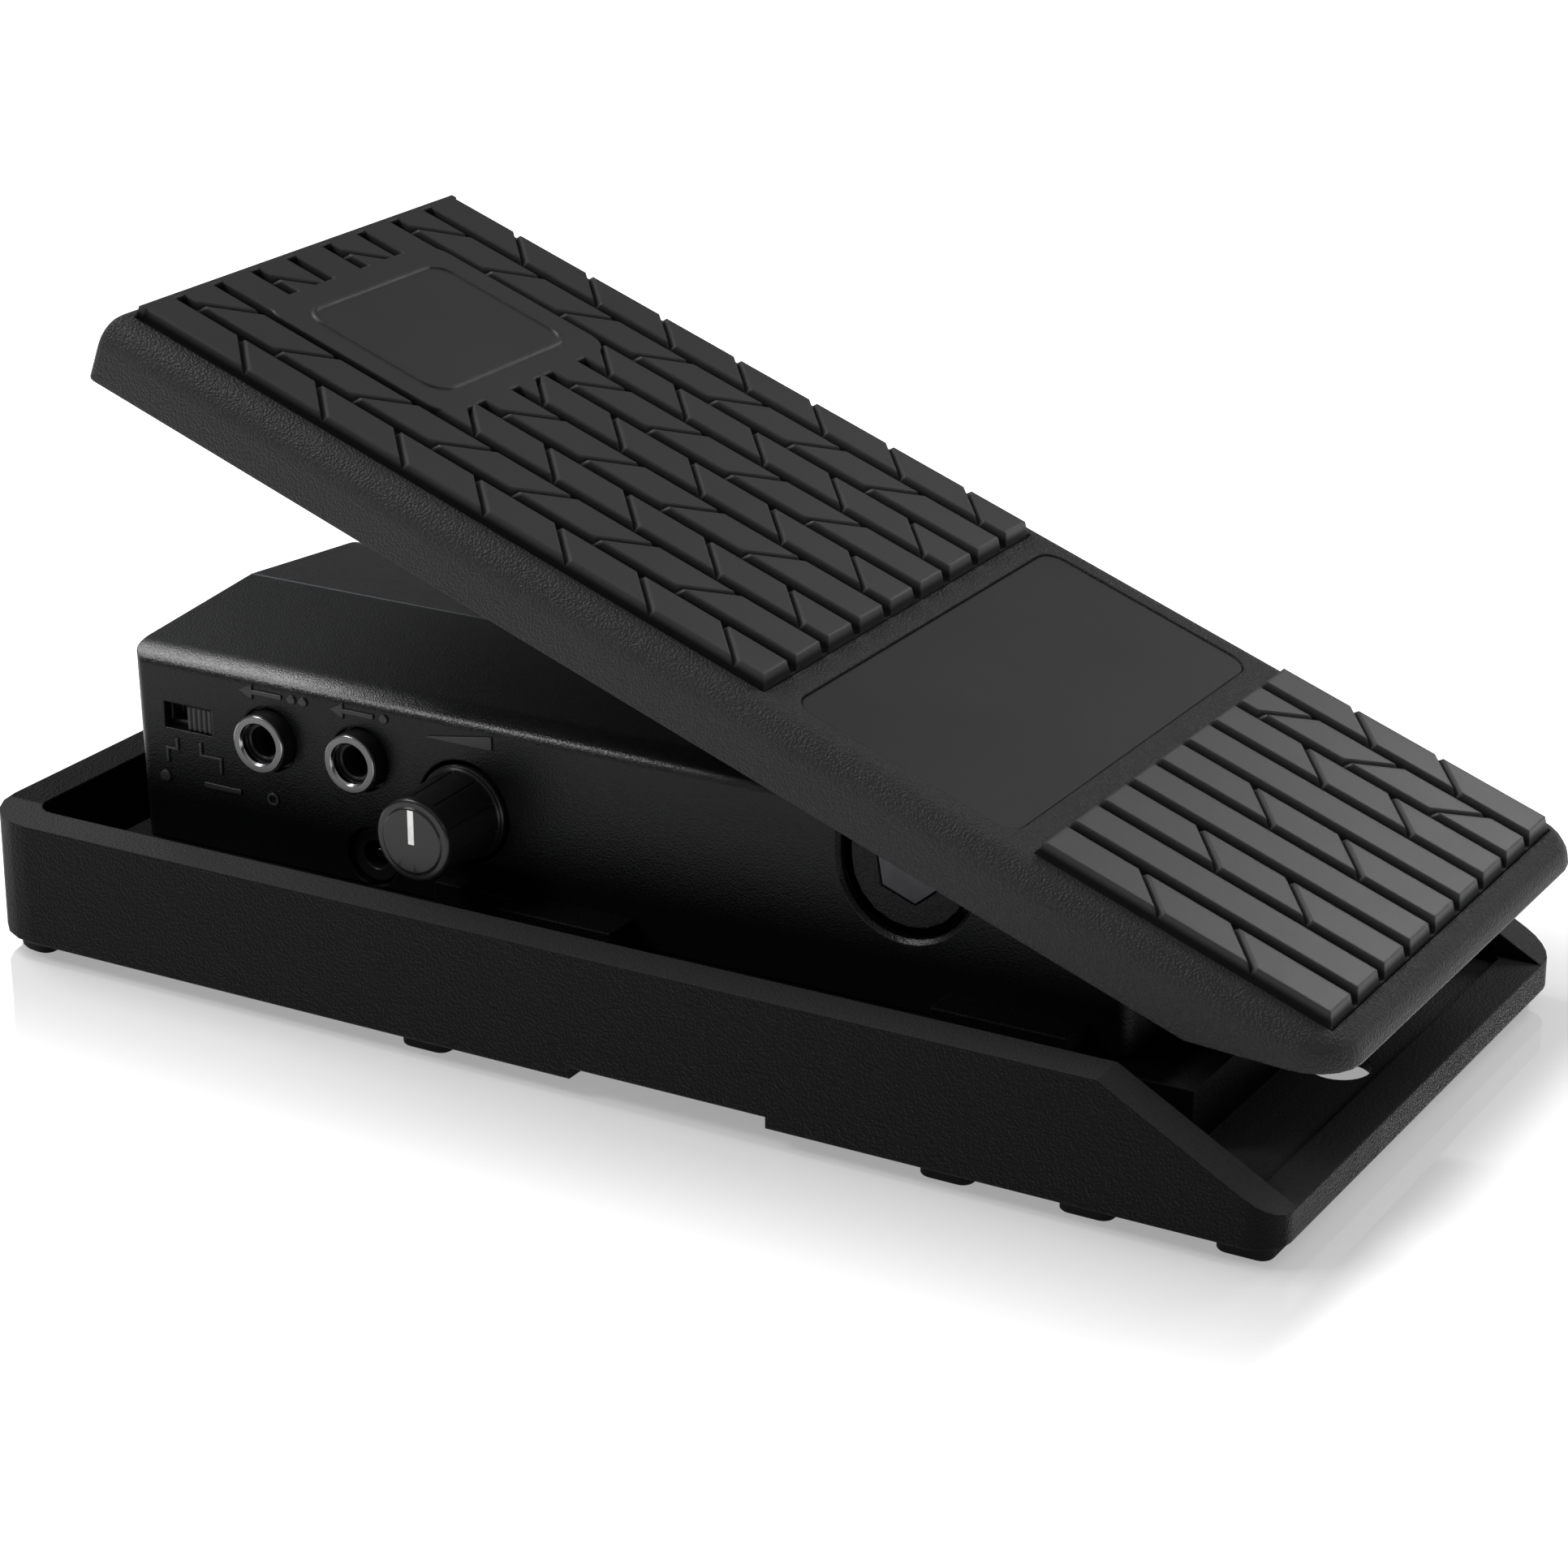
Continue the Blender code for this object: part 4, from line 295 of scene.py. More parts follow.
def moulded(name, base, worn, rough, grain, depth, specular, tint=NO_TINT, wear=0.5, pebbled=True,
            wear_radius=0.6 * MM, lit_tops_tone=None, ridge=False, heel_painted_light=1.0, grooved=False,
            polished_shoulder=0.0):
    """Moulded plastic or rubber: grain, blotches in its gloss, darker hollows in its grain and paler worn
    edges, with painted light and shade where asked.
    """
    material, tree, place = new_material(name)
    if pebbled:
        height = leather_height(tree, place, grain)
    else:
        height = noise(tree, place, grain, detail=4.0, rough=0.65)
    broad = noise(tree, place, BROAD_SIZE, detail=3.0, rough=0.55)
    patch = noise(tree, place, PATCH_SIZE, detail=4.0, rough=0.6)
    speck = noise(tree, place, SPECK_SIZE, detail=3.0, rough=0.7)
    rounded = node(tree, "ShaderNodeBevel", {"Radius": wear_radius}, samples=EDGE_SAMPLES).outputs["Normal"]
    edges = maths(tree, "MULTIPLY", edge_mask(tree, rounded), ranged(tree, patch, *WEAR_PATCHES))
    tone = added(tree, ranged(tree, broad, *BROAD_TONE), ranged(tree, speck, *SPECK_TONE), SPECK_SHARE)
    colour = mixed(tree, tone, grey(base * DARK_SHADE, tint), grey(base * PALE_SHADE, tint))
    # Painted light: the colour grows lighter toward the heel, as though lit more there
    if heel_painted_light != 1.0:
        heelward_light = ranged(tree, part_of(tree, place, "Y"), LIGHT_GRADIENT_TOE_Y, LIGHT_GRADIENT_HEEL_Y, 1.0, heel_painted_light)
        colour = node(tree, "ShaderNodeVectorMath", {0: colour, "Scale": heelward_light}, operation="SCALE").outputs[0]
    # Darker where the grain's height is low
    colour = mixed(tree, ranged(tree, height, *HOLLOW_DARKENING), colour, grey(base * HOLLOW_SHADE, tint))
    # Painted light: up-facing rim and heel tops paler, broken by specks
    if lit_tops_tone is not None:
        colour = mixed(tree, painted_lit_tops(tree, place, speck), colour, grey(lit_tops_tone, tint))
    # Painted highlight: a pale line along the roof's ridge, where light would catch it
    if ridge:
        colour = mixed(tree, ridge_painted_highlight(tree, place), colour, grey(worn * RIDGE_HIGHLIGHT_TONE, tint))
    colour = mixed(tree, maths(tree, "MULTIPLY", edges, wear), colour, grey(worn, tint))
    # Painted shade: darker and less shiny at the bottom of the grooves
    if grooved:
        dirt_and_painted_shade = painted_groove_shade(tree, place)
        colour = mixed(tree, dirt_and_painted_shade, colour, grey(base * GROOVE_SHADE, tint))
        specular = maths(tree, "MULTIPLY", specular, maths(tree, "SUBTRACT", 1.0, dirt_and_painted_shade))
    if polished_shoulder:
        specular = maths(tree, "ADD", specular, shoulder_polish(tree, polished_shoulder))
    gloss = ranged(tree, broad, *GLOSS_PATCHES, rough - GLOSS_SPREAD, rough + GLOSS_SPREAD)
    gloss = added(tree, gloss, maths(tree, "SUBTRACT", patch, 0.5), PATCH_GLOSS)
    gloss = maths(tree, "SUBTRACT", gloss, maths(tree, "MULTIPLY", edges, WORN_GLOSS), clamp=True)
    inputs = {"Height": height, "Strength": 1.0, "Distance": depth, "Normal": rounded}
    bump = node(tree, "ShaderNodeBump", inputs).outputs["Normal"]
    finish_material(tree, {
        "Base Color": colour,
        "Roughness": gloss,
        "Specular IOR Level": specular,
        "Normal": bump,
    })
    return material


# Metal: smudges and long fine scratches
SMUDGE_SIZE = 4.0 * MM
SMUDGE_TONE = (0.3, 0.75, 0.0, 0.5)
SMUDGE_SHADE = (0.7, 0.7, 0.72)
SMUDGE_RANGE = (0.3, 0.7)
SMUDGE_GLOSS_LESS = 0.04
SMUDGE_GLOSS_MORE = 0.08
SCRATCH_SIZE = 0.8 * MM
SCRATCH_STRETCH = (1.0, 9.0, 1.0)
SCRATCH_LINES = (0.62, 0.72, 0.0, 1.0)
SCRATCH_GLOSS = 0.3
SIDE_FACING = (0.88, 0.98, 0.0, 1.0)
SATIN_GLOSS = 0.15
BRUSH_STRENGTH = 0.35
BRUSH_DEPTH = 0.01 * MM


def plated(name, colour, rough, brush, scratch=0.5, satin=None):
    """Bare or plated metal with fine brushing, smudges and small scratches, and perhaps satin side faces."""
    material, tree, place = new_material(name)
    lines = noise(tree, place, brush, detail=4.0, rough=0.7)
    smudge = noise(tree, place, SMUDGE_SIZE, detail=4.0, rough=0.6)
    marks = noise(tree, vectors(tree, "MULTIPLY", place, SCRATCH_STRETCH), SCRATCH_SIZE, detail=2.0)
    dull = [channel * shade for channel, shade in zip(colour, SMUDGE_SHADE)]
    shade = mixed(tree, ranged(tree, smudge, *SMUDGE_TONE), (*colour, 1.0), (*dull, 1.0))
    gloss = ranged(tree, smudge, *SMUDGE_RANGE, rough - SMUDGE_GLOSS_LESS, rough + SMUDGE_GLOSS_MORE)
    gloss = added(tree, gloss, ranged(tree, marks, *SCRATCH_LINES), scratch * SCRATCH_GLOSS)
    if satin is not None:
        flat = ranged(tree, maths(tree, "ABSOLUTE", facing(tree, "X")), *SIDE_FACING, smooth=True)
        shade = mixed(tree, flat, shade, grey(satin))
        gloss = added(tree, gloss, flat, SATIN_GLOSS)
    bump = bumped(tree, lines, BRUSH_STRENGTH, BRUSH_DEPTH)
    finish_material(tree, {"Base Color": shade, "Metallic": 1.0, "Roughness": gloss, "Normal": bump})
    return material


# Circuit board: its tracks are the bricks of a wall, kept in some blotches only
TRACK_PITCH = 3.2 * MM
TRACK_GAP = 0.10
TRACK_GAP_SOFTNESS = 0.1
TRACK_LENGTH = 1.4
TRACK_ROW = 0.6
TRACK_SHIFT = 0.35
TRACK_SQUASH = 1.6
TRACK_DEPTH = 0.04 * MM
TRACK_STRENGTH = 0.8
BOARD_BLOTCH_SIZE = 9.0 * MM
BOARD_BLOTCHES = (0.42, 0.5, 0.0, 1.0)
BOARD_WEAVE_SIZE = 0.3 * MM
BOARD_GLOSS = (0.3, 0.7, 0.28, 0.42)
BOARD_DARK = (0.006, 0.030, 0.014, 1.0)
BOARD_PALE = (0.020, 0.085, 0.035, 1.0)


def laminate(name):
    """Circuit board: solder mask over copper tracks that show as raised paler lines."""
    material, tree, place = new_material(name)
    inputs = {"Vector": place, "Scale": 1.0 / TRACK_PITCH, "Mortar Size": TRACK_GAP,
              "Mortar Smooth": TRACK_GAP_SOFTNESS, "Brick Width": TRACK_LENGTH, "Row Height": TRACK_ROW}
    bricks = node(tree, "ShaderNodeTexBrick", inputs, offset=TRACK_SHIFT, squash=TRACK_SQUASH).outputs["Fac"]
    blotch = noise(tree, place, BOARD_BLOTCH_SIZE, detail=3.0)
    mask = maths(tree, "MULTIPLY", bricks, ranged(tree, blotch, *BOARD_BLOTCHES))
    weave = noise(tree, place, BOARD_WEAVE_SIZE, detail=2.0)
    colour = mixed(tree, mask, BOARD_DARK, BOARD_PALE)
    gloss = ranged(tree, weave, *BOARD_GLOSS)
    bump = bumped(tree, mask, TRACK_STRENGTH, TRACK_DEPTH)
    finish_material(tree, {"Base Color": colour, "Roughness": gloss, "Normal": bump})
    return material


PAINT_DIRT_SIZE = 3.0 * MM
PAINT_DIRT = (0.45, 0.8, 0.0, 0.7)
PAINT_DIRT_SHADE = (0.78, 0.76, 0.72)
PAINT_FINE = (0.3, 0.7)
PAINT_GLOSS_SPREAD = 0.06
PAINT_BUMP = 0.6


def plain_paint(name, colour, rough, grain, depth):
    """A light moulded or painted surface with a little dirt in it."""
    material, tree, place = new_material(name)
    fine = noise(tree, place, grain, detail=4.0, rough=0.6)
    dirt_and_painted_shade = noise(tree, place, PAINT_DIRT_SIZE, detail=4.0, rough=0.65)
    dark = [channel * shade for channel, shade in zip(colour, PAINT_DIRT_SHADE)]
    shade = mixed(tree, ranged(tree, dirt_and_painted_shade, *PAINT_DIRT), (*colour, 1.0), (*dark, 1.0))
    gloss = ranged(tree, fine, *PAINT_FINE, rough - PAINT_GLOSS_SPREAD, rough + PAINT_GLOSS_SPREAD)
    bump = bumped(tree, fine, PAINT_BUMP, depth)
    finish_material(tree, {"Base Color": shade, "Roughness": gloss, "Normal": bump})
    return material


# Base tone, worn tone, roughness, grain size and grain depth, in that order, for the moulded materials
MATERIALS = {
    "tray_plastic": moulded("tray_grained_plastic", 0.0032, 0.030, 0.50, 0.55 * MM, 0.080 * MM,
                            specular=0.07, lit_tops_tone=0.036, wear=0.7),
    # The housing's ridge carries a painted highlight
    "housing_plastic": moulded("housing_fine_plastic", 0.0045, 0.030, 0.33, 0.40 * MM, 0.030 * MM,
                               specular=0.16, tint=(0.94, 0.99, 1.10), ridge=True, polished_shoulder=0.34),
    "treadle_plastic": moulded("treadle_grained_plastic", 0.020, 0.040, 0.48, 0.50 * MM, 0.150 * MM,
                               specular=0.18, wear_radius=0.9 * MM),
    "tread_rubber": moulded("tread_satin_rubber", 0.0108, 0.050, 0.44, 0.30 * MM, 0.018 * MM, specular=0.36,
                            pebbled=False, wear=0.5, wear_radius=0.85 * MM, heel_painted_light=3.1, grooved=True),
    "foot_rubber": moulded("foot_rubber_matt", 0.006, 0.020, 0.72, 0.35 * MM, 0.020 * MM, specular=0.15,
                           pebbled=False),
    "label_plastic": moulded("label_smooth_plastic", 0.0245, 0.036, 0.50, 0.22 * MM, 0.006 * MM,
                             specular=0.12, pebbled=False),
    "knob_plastic": moulded("knob_satin_plastic", 0.010, 0.060, 0.24, 0.25 * MM, 0.004 * MM, specular=0.30,
                            pebbled=False, wear=0.7, wear_radius=0.30 * MM),
    # The marks' plastic is the housing's own, painted paler as a painted highlight on the raised marks
    "housing_marks_painted_lit": moulded("housing_mark_plastic_painted_lit", 0.019, 0.070, 0.40, 0.40 * MM, 0.010 * MM,
                             specular=0.30, tint=(0.98, 0.99, 1.05), wear=0.9, wear_radius=0.25 * MM),
    "black_component": moulded("component_black_plastic", 0.010, 0.030, 0.34, 0.25 * MM, 0.006 * MM,
                               specular=0.36, pebbled=False),
    "nylon": moulded("nylon_black", 0.026, 0.060, 0.40, 0.40 * MM, 0.006 * MM, specular=0.35, pebbled=False,
                     wear_radius=0.20 * MM),
    "pointer_white": plain_paint("pointer_white_paint", (0.84, 0.84, 0.82), 0.45, 0.2 * MM, 0.01 * MM),
    "chrome": plated("chrome_plate", (0.34, 0.34, 0.35), 0.16, 0.25 * MM, scratch=0.3, satin=0.11),
    "steel": plated("zinc_plated_steel", (0.56, 0.57, 0.58), 0.34, 0.20 * MM),
    "blackened_steel": plated("blackened_steel", (0.060, 0.060, 0.064), 0.38, 0.20 * MM),
    "board_laminate": laminate("board_laminate_green"),
}


# ---------------------------------------------------------------- CAD nodes: rounded edges and materials

def smooth(mesh):
    mesh.polygons.foreach_set("use_smooth", [True] * len(mesh.polygons))


def add_modifier(piece, name, kind, **settings):
    made = piece.modifiers.new(name, kind)
    for key, value in settings.items():
        setattr(made, key, value)


def add_modifier_first(piece, name, kind, **settings):
    add_modifier(piece, name, kind, **settings)
    piece.modifiers.move(len(piece.modifiers) - 1, 0)


def even_normals(piece):
    """Keeps broad faces flat in shading beside their rounded edges."""
    add_modifier(piece, "normals", "WEIGHTED_NORMAL", mode="FACE_AREA", weight=NORMAL_WEIGHT, keep_sharp=True)


def soften(node_name, width):
    """Rounds a CAD node's edges with modifiers, which leave its own vertices alone."""
    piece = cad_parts[node_name]
    smooth(piece.data)
    add_modifier(piece, "weld", "WELD", merge_threshold=WELD)
    add_modifier(piece, "flat", "DECIMATE", decimate_type="DISSOLVE", angle_limit=FLAT_ANGLE)
    add_modifier(piece, "round", "BEVEL", width=width, segments=2, limit_method="ANGLE",
                 angle_limit=EDGE_ANGLE, use_clamp_overlap=True, miter_outer="MITER_SHARP",
                 harden_normals=False)
    even_normals(piece)


def place_new(name, data):
    """A new object in the scene, of a mesh, a light or a camera."""
    made = bpy.data.objects.new(name, data)
    bpy.context.scene.collection.objects.link(made)
    return made


EDGE_WIDTHS = {
    "base_tray": 0.45 * MM,
    "housing_shell": 0.45 * MM,
    "treadle_shell": 0.60 * MM,
    "toe_tread_pad": 0.40 * MM,
    "heel_tread_pad": 0.40 * MM,
    "label_plate": 0.12 * MM,
}
SMALL_EDGE = 0.15 * MM
RIDGE_WIDTH = 0.35 * MM


def housing_with_ridge():
    """A copy of the housing with a crisp line along its shallow ridge, which an angle limit would miss."""
    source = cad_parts["housing_shell"]
    shape = bmesh.new()
    shape.from_mesh(source.data)
    bmesh.ops.remove_doubles(shape, verts=shape.verts, dist=WELD)
    bmesh.ops.dissolve_limit(shape, angle_limit=FLAT_ANGLE, verts=shape.verts, edges=shape.edges)
    weights = shape.edges.layers.float.new("bevel_weight_edge")
    _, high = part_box("housing_shell")
    for edge in shape.edges:
        angle = edge.calc_face_angle(0.0)
        on_ridge = all(abs(vertex.co.x) < RIDGE_WIDTH and vertex.co.z > high.z - RIDGE_WIDTH
                       for vertex in edge.verts)
        if angle > EDGE_ANGLE:
            edge[weights] = 1.0
        elif on_ridge and angle > RIDGE_ANGLE:
            edge[weights] = RIDGE_WIDTH / EDGE_WIDTHS["housing_shell"]
    mesh = bpy.data.meshes.new("housing_shell_fine")
    shape.to_mesh(mesh)
    shape.free()
    smooth(mesh)
    mesh.materials.append(MATERIALS["housing_plastic"])
    piece = place_new("housing_shell_fine", mesh)
    width = EDGE_WIDTHS["housing_shell"]
    add_modifier(piece, "round", "BEVEL", width=width, segments=3, limit_method="WEIGHT")
    even_normals(piece)
    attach(piece, "base")
    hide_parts("housing_shell")


for name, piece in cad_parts.items():
    slot = piece.data.materials[0].name.split(".")[0]
    piece.data.materials[0] = MATERIALS[slot]
    soften(name, EDGE_WIDTHS.get(name, SMALL_EDGE))


# ---------------------------------------------------------------- finer pieces

def build(name, points, faces, body, slot, stands_for=(), sharp_from=SMOOTH_ANGLE):
    """A new piece from points and faces, riding on a body and finished as its material slot."""
    mesh = bpy.data.meshes.new(name)
    shape = bmesh.new()
    made = [shape.verts.new(point) for point in points]
    for face in faces:
        shape.faces.new([made[index] for index in face])
    bmesh.ops.remove_doubles(shape, verts=shape.verts, dist=WELD)
    bmesh.ops.recalc_face_normals(shape, faces=shape.faces)
    for edge in shape.edges:
        edge.smooth = edge.calc_face_angle(0.0) < sharp_from
    shape.to_mesh(mesh)
    shape.free()
    smooth(mesh)
    mesh.materials.append(MATERIALS[slot])
    piece = place_new(name, mesh)
    add_modifier(piece, "normals", "WEIGHTED_NORMAL", keep_sharp=True)
    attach(piece, body)
    if stands_for:
        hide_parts(*stands_for)
    return piece


def grid_faces(rows, columns, wrap_rows):
    """Faces of a grid of points closed round its columns, and round its rows too if asked."""
    faces = []
    for row in range(rows if wrap_rows else rows - 1):
        above = (row + 1) % rows
        for column in range(columns):
            beside = (column + 1) % columns
            faces.append((row * columns + column, row * columns + beside,
                          above * columns + beside, above * columns + column))
    return faces


def middle(node_name):
    """The middle of a node's box."""
    low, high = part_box(node_name)
    return (low + high) / 2


# Socket rings: (depth behind the face, radius), in millimetres
RING_PROFILE = [
    (1.98, 5.38), (0.29, 5.38), (0.26, 5.44), (0.26, 5.96), (0.16, 6.02), (0.05, 5.94), (0.0, 5.76),
    (0.0, 4.64), (0.04, 4.54), (0.14, 4.44), (0.42, 4.16), (0.55, 4.07), (0.70, 4.03), (1.98, 4.03),
]
RING_STEPS = 72


def socket_ring(node_name):
    """A turned ring with a rounded lip and a countersunk mouth."""
    low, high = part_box(node_name)
    centre = middle(node_name)
    face, inward = (low.x, 1.0) if centre.x < 0.0 else (high.x, -1.0)
    points = []
    for depth, radius in RING_PROFILE:
        for step in range(RING_STEPS):
            turn = math.tau * step / RING_STEPS
            points.append((face + inward * depth * MM, centre.y + radius * MM * math.cos(turn),
                           centre.z + radius * MM * math.sin(turn)))
    faces = grid_faces(len(RING_PROFILE), RING_STEPS, True)
    build(f"{node_name}_turned", points, faces, "base", "chrome", (node_name,), RING_SMOOTH_ANGLE)


# Knob: (depth behind the face, radius, share of the flute's depth), the first two in millimetres
KNOB_PROFILE = [
    (0.0, 0.02, 0.0), (0.0, 3.5, 0.0), (0.0, 6.35, 0.0), (0.05, 6.62, 0.0), (0.20, 6.80, 0.0),
    (0.38, 6.88, 0.0), (0.42, 7.05, 0.0), (0.38, 7.60, 0.0), (0.42, 8.00, 0.0), (0.58, 8.28, 0.0),
    (0.85, 8.44, 0.0), (1.20, 8.50, 0.0), (1.90, 8.53, 0.0), (2.30, 8.55, 0.5), (2.80, 8.57, 1.0),
    (9.0, 8.82, 1.0), (15.6, 9.07, 1.0), (16.3, 9.10, 0.7), (16.7, 9.10, 0.0), (16.78, 9.32, 0.0),
    (16.9, 9.44, 0.0), (17.1, 9.49, 0.0), (17.3, 9.50, 0.0), (17.36, 9.68, 0.0), (17.46, 9.82, 0.0),
    (17.65, 9.89, 0.0), (18.2, 9.90, 0.0), (18.5, 9.82, 0.0), (18.6, 9.60, 0.0), (18.6, 3.12, 0.0),
    (7.7, 3.12, 0.0), (7.7, 0.02, 0.0),
]
KNOB_FACETS = 10
KNOB_TURNED = math.radians(7.0)
FLUTE_DEPTH = 0.42 * MM
FACET_FLATNESS = 0.32
# (place across one facet, share of the flute's depth)
FLUTE_SHAPE = [
    (0.0, 1.0), (0.014, 1.0), (0.034, 0.35), (0.052, 0.05), (0.085, 0.0), (0.2, 0.0), (0.35, 0.0),
    (0.5, 0.0), (0.65, 0.0), (0.8, 0.0), (0.915, 0.0), (0.948, 0.05), (0.966, 0.35), (0.986, 1.0),
]


def fluted_knob():
    """The knob: a raised face disc, a body of flattish facets parted by fine flutes, and a stepped skirt."""
    low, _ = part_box("min_volume_knob")
    centre = middle("min_volume_knob")
    half_facet = math.pi / KNOB_FACETS
    points = []
    for depth, radius, fluting in KNOB_PROFILE:
        for facet in range(KNOB_FACETS):
            for across, share in FLUTE_SHAPE:
                off_middle = (2.0 * across - 1.0) * half_facet
                turn = (facet * 2.0 + 2.0 * across) * half_facet + KNOB_TURNED
                flat = 1.0 - math.cos(half_facet) / math.cos(off_middle)
                length = radius * MM * (1.0 - flat * FACET_FLATNESS * min(1.0, fluting * 2.0))
                length -= FLUTE_DEPTH * share * fluting
                points.append((low.x + depth * MM, centre.y + length * math.sin(turn),
                               centre.z + length * math.cos(turn)))
    columns = KNOB_FACETS * len(FLUTE_SHAPE)
    faces = grid_faces(len(KNOB_PROFILE), columns, False)
    faces.append(tuple(range(columns)))
    faces.append(tuple(range(len(points) - columns, len(points))))
    build("min_volume_knob_fluted", points, faces, "min_volume_control", "knob_plastic", ("min_volume_knob",))


def rounded_bar(name, low, high, body, slot, stands_for, edge):
    """A bar between two corners, with its edges rounded."""
    corners = [(x, y, z) for x in (low[0], high[0]) for y in (low[1], high[1]) for z in (low[2], high[2])]
    faces = [(0, 1, 3, 2), (4, 6, 7, 5), (0, 4, 5, 1), (2, 3, 7, 6), (0, 2, 6, 4), (1, 5, 7, 3)]
    bar = build(name, corners, faces, body, slot, stands_for, math.pi)
    add_modifier_first(bar, "round", "BEVEL", width=edge, segments=3)


POINTER_HALF = 0.70 * MM
POINTER_SPAN = (-0.7 * MM, 6.40 * MM)
POINTER_EDGE = 0.12 * MM


def knob_pointer():
    """The pale line inlaid in the knob's face."""
    low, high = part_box("min_volume_pointer")
    centre = middle("min_volume_knob")
    bar_low = (low.x, centre.y - POINTER_HALF, centre.z + POINTER_SPAN[0])
    bar_high = (high.x, centre.y + POINTER_HALF, centre.z + POINTER_SPAN[1])
    rounded_bar("min_volume_pointer_inlaid", bar_low, bar_high, "min_volume_control", "pointer_white",
                ("min_volume_pointer",), POINTER_EDGE)


SLIDER_RIBS = 5
SLIDER_GROOVE = 0.55 * MM
SLIDER_HEAD = 2.2 * MM
# (place across one rib, share of the groove's depth)
SLIDER_RIB = [(0.06, 1.0), (0.16, 0.35), (0.30, 0.05), (0.5, 0.0), (0.70, 0.05), (0.84, 0.35), (0.94, 1.0)]


def ribbed_slider():
    """The slide switch's button, with upright ribs on its face."""
    low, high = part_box("mode_switch_slider")
    pitch = (high.y - low.y) / SLIDER_RIBS
    outline = [(low.x + SLIDER_HEAD, low.y)]
    for rib in range(SLIDER_RIBS):
        start = low.y + rib * pitch
        for across, share in SLIDER_RIB:
            outline.append((low.x + SLIDER_GROOVE * share, start + across * pitch))
    outline.append((low.x + SLIDER_HEAD, high.y))
    count = len(outline)
    points = [(x, y, z) for z in (low.z, high.z) for x, y in outline]
    faces = [tuple(range(count)), tuple(range(count, 2 * count))]
    for index in range(count):
        beside = (index + 1) % count
        faces.append((index, beside, beside + count, index + count))
    build("mode_switch_slider_ribbed", points, faces, "mode_switch", "black_component",
          ("mode_switch_slider",), RIB_SMOOTH_ANGLE)


# ---------------------------------------------------------------- raised marks on the housing's side

MARK_RISE = 0.42 * MM
MARK_ROOT = 0.20 * MM
MARK_EDGE = 0.14 * MM
MARK_SLICE = 0.5 * MM
WALL_SEARCH_X = -80.0 * MM         # beyond the housing's side, to look for it from
LEAST_MITRE = 0.3
DISC_STEPS = 28


def ribbon(path, width):
    """The outline of a mitred line of one width along a path of (y, z) points."""
    left, right = [], []
    for index, point in enumerate(path):
        here = Vector(point)
        before = (here - Vector(path[index - 1])).normalized() if index else None
        after = (Vector(path[index + 1]) - here).normalized() if index < len(path) - 1 else None
        before, after = before or after, after or before
        along = (before + after).normalized()
        square = Vector((-along.y, along.x)) * (width / 2 / max(LEAST_MITRE, along.dot(before)))
        left.append(here + square)
        right.append(here - square)
    return [tuple(point) for point in left + right[::-1]]


def arc(centre, radius, start, sweep, steps):
    """Points along an arc, both its ends included."""
    turns = [start + sweep * step / steps for step in range(steps + 1)]
    return [(centre[0] + radius * math.cos(turn), centre[1] + radius * math.sin(turn)) for turn in turns]


def disc(centre, radius):
    """The outline of a round dot."""
    return arc(centre, radius, 0.0, math.tau, DISC_STEPS)[:-1]


def raised_marks(name, outlines):
    """Low moulded marks that follow the housing's side, from outlines of (y, z) points."""
    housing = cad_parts["housing_shell"].data
    wall = BVHTree.FromPolygons([v.co.copy() for v in housing.vertices],
                                [tuple(p.vertices) for p in housing.polygons])
    points, faces = [], []
    for outline in outlines:
        flat = bmesh.new()
        flat.faces.new([flat.verts.new((0.0, y, z)) for y, z in outline])
        lowest = min(z for _, z in outline)
        highest = max(z for _, z in outline)
        for index in range(1, int((highest - lowest) / MARK_SLICE) + 1):
            level = (0.0, 0.0, lowest + index * MARK_SLICE)
            everything = flat.verts[:] + flat.edges[:] + flat.faces[:]
            bmesh.ops.bisect_plane(flat, geom=everything, plane_co=level, plane_no=(0.0, 0.0, 1.0))
        flat.verts.ensure_lookup_table()
        flat.verts.index_update()
        first, count = len(points), len(flat.verts)
        for rise in (MARK_RISE, -MARK_ROOT):
            for vertex in flat.verts:
                start = Vector((WALL_SEARCH_X, vertex.co.y, vertex.co.z))
                hit = wall.ray_cast(start, Vector((1.0, 0.0, 0.0)))[0]
                points.append((hit.x - rise, vertex.co.y, vertex.co.z))
        for face in flat.faces:
            ring = [first + vertex.index for vertex in face.verts]
            faces.append(tuple(ring))
            faces.append(tuple(index + count for index in reversed(ring)))
        for edge in flat.edges:
            if edge.is_boundary:
                a, b = (first + vertex.index for vertex in edge.verts)
                faces.append((a, b, b + count, a + count))
        flat.free()
    marks = build(name, points, faces, "base", "housing_plastic", (), math.pi)
    # Painted highlight: the marks take a paler copy of the housing's plastic
    marks.data.materials[0] = MATERIALS["housing_marks_painted_lit"]
    add_modifier_first(marks, "round", "BEVEL", width=MARK_EDGE, segments=2, angle_limit=MARK_EDGE_ANGLE)


LINE = 0.55 * MM
HALF_RING_STEPS = 14


def ring_outlines(centre, radius, width):
    """A ring as two half ribbons, so that each outline stays simple."""
    return [ribbon(arc(centre, radius, start, math.pi, HALF_RING_STEPS), width) for start in (0.0, math.pi)]


ARROW_LENGTH = 10.5 * MM
ARROW_HEAD = 3.2 * MM
ARROW_HALF_BAR = 0.50 * MM
ARROW_HALF_HEAD = 1.75 * MM


def arrow(y, z):
    """An arrow along the side that points to the toe: a bar and a head."""
    tip = y + ARROW_LENGTH / 2
    tail = y - ARROW_LENGTH / 2
    neck = tip - ARROW_HEAD
    return [(tail, z - ARROW_HALF_BAR), (neck, z - ARROW_HALF_BAR), (neck, z - ARROW_HALF_HEAD), (tip, z),
            (neck, z + ARROW_HALF_HEAD), (neck, z + ARROW_HALF_BAR), (tail, z + ARROW_HALF_BAR)]


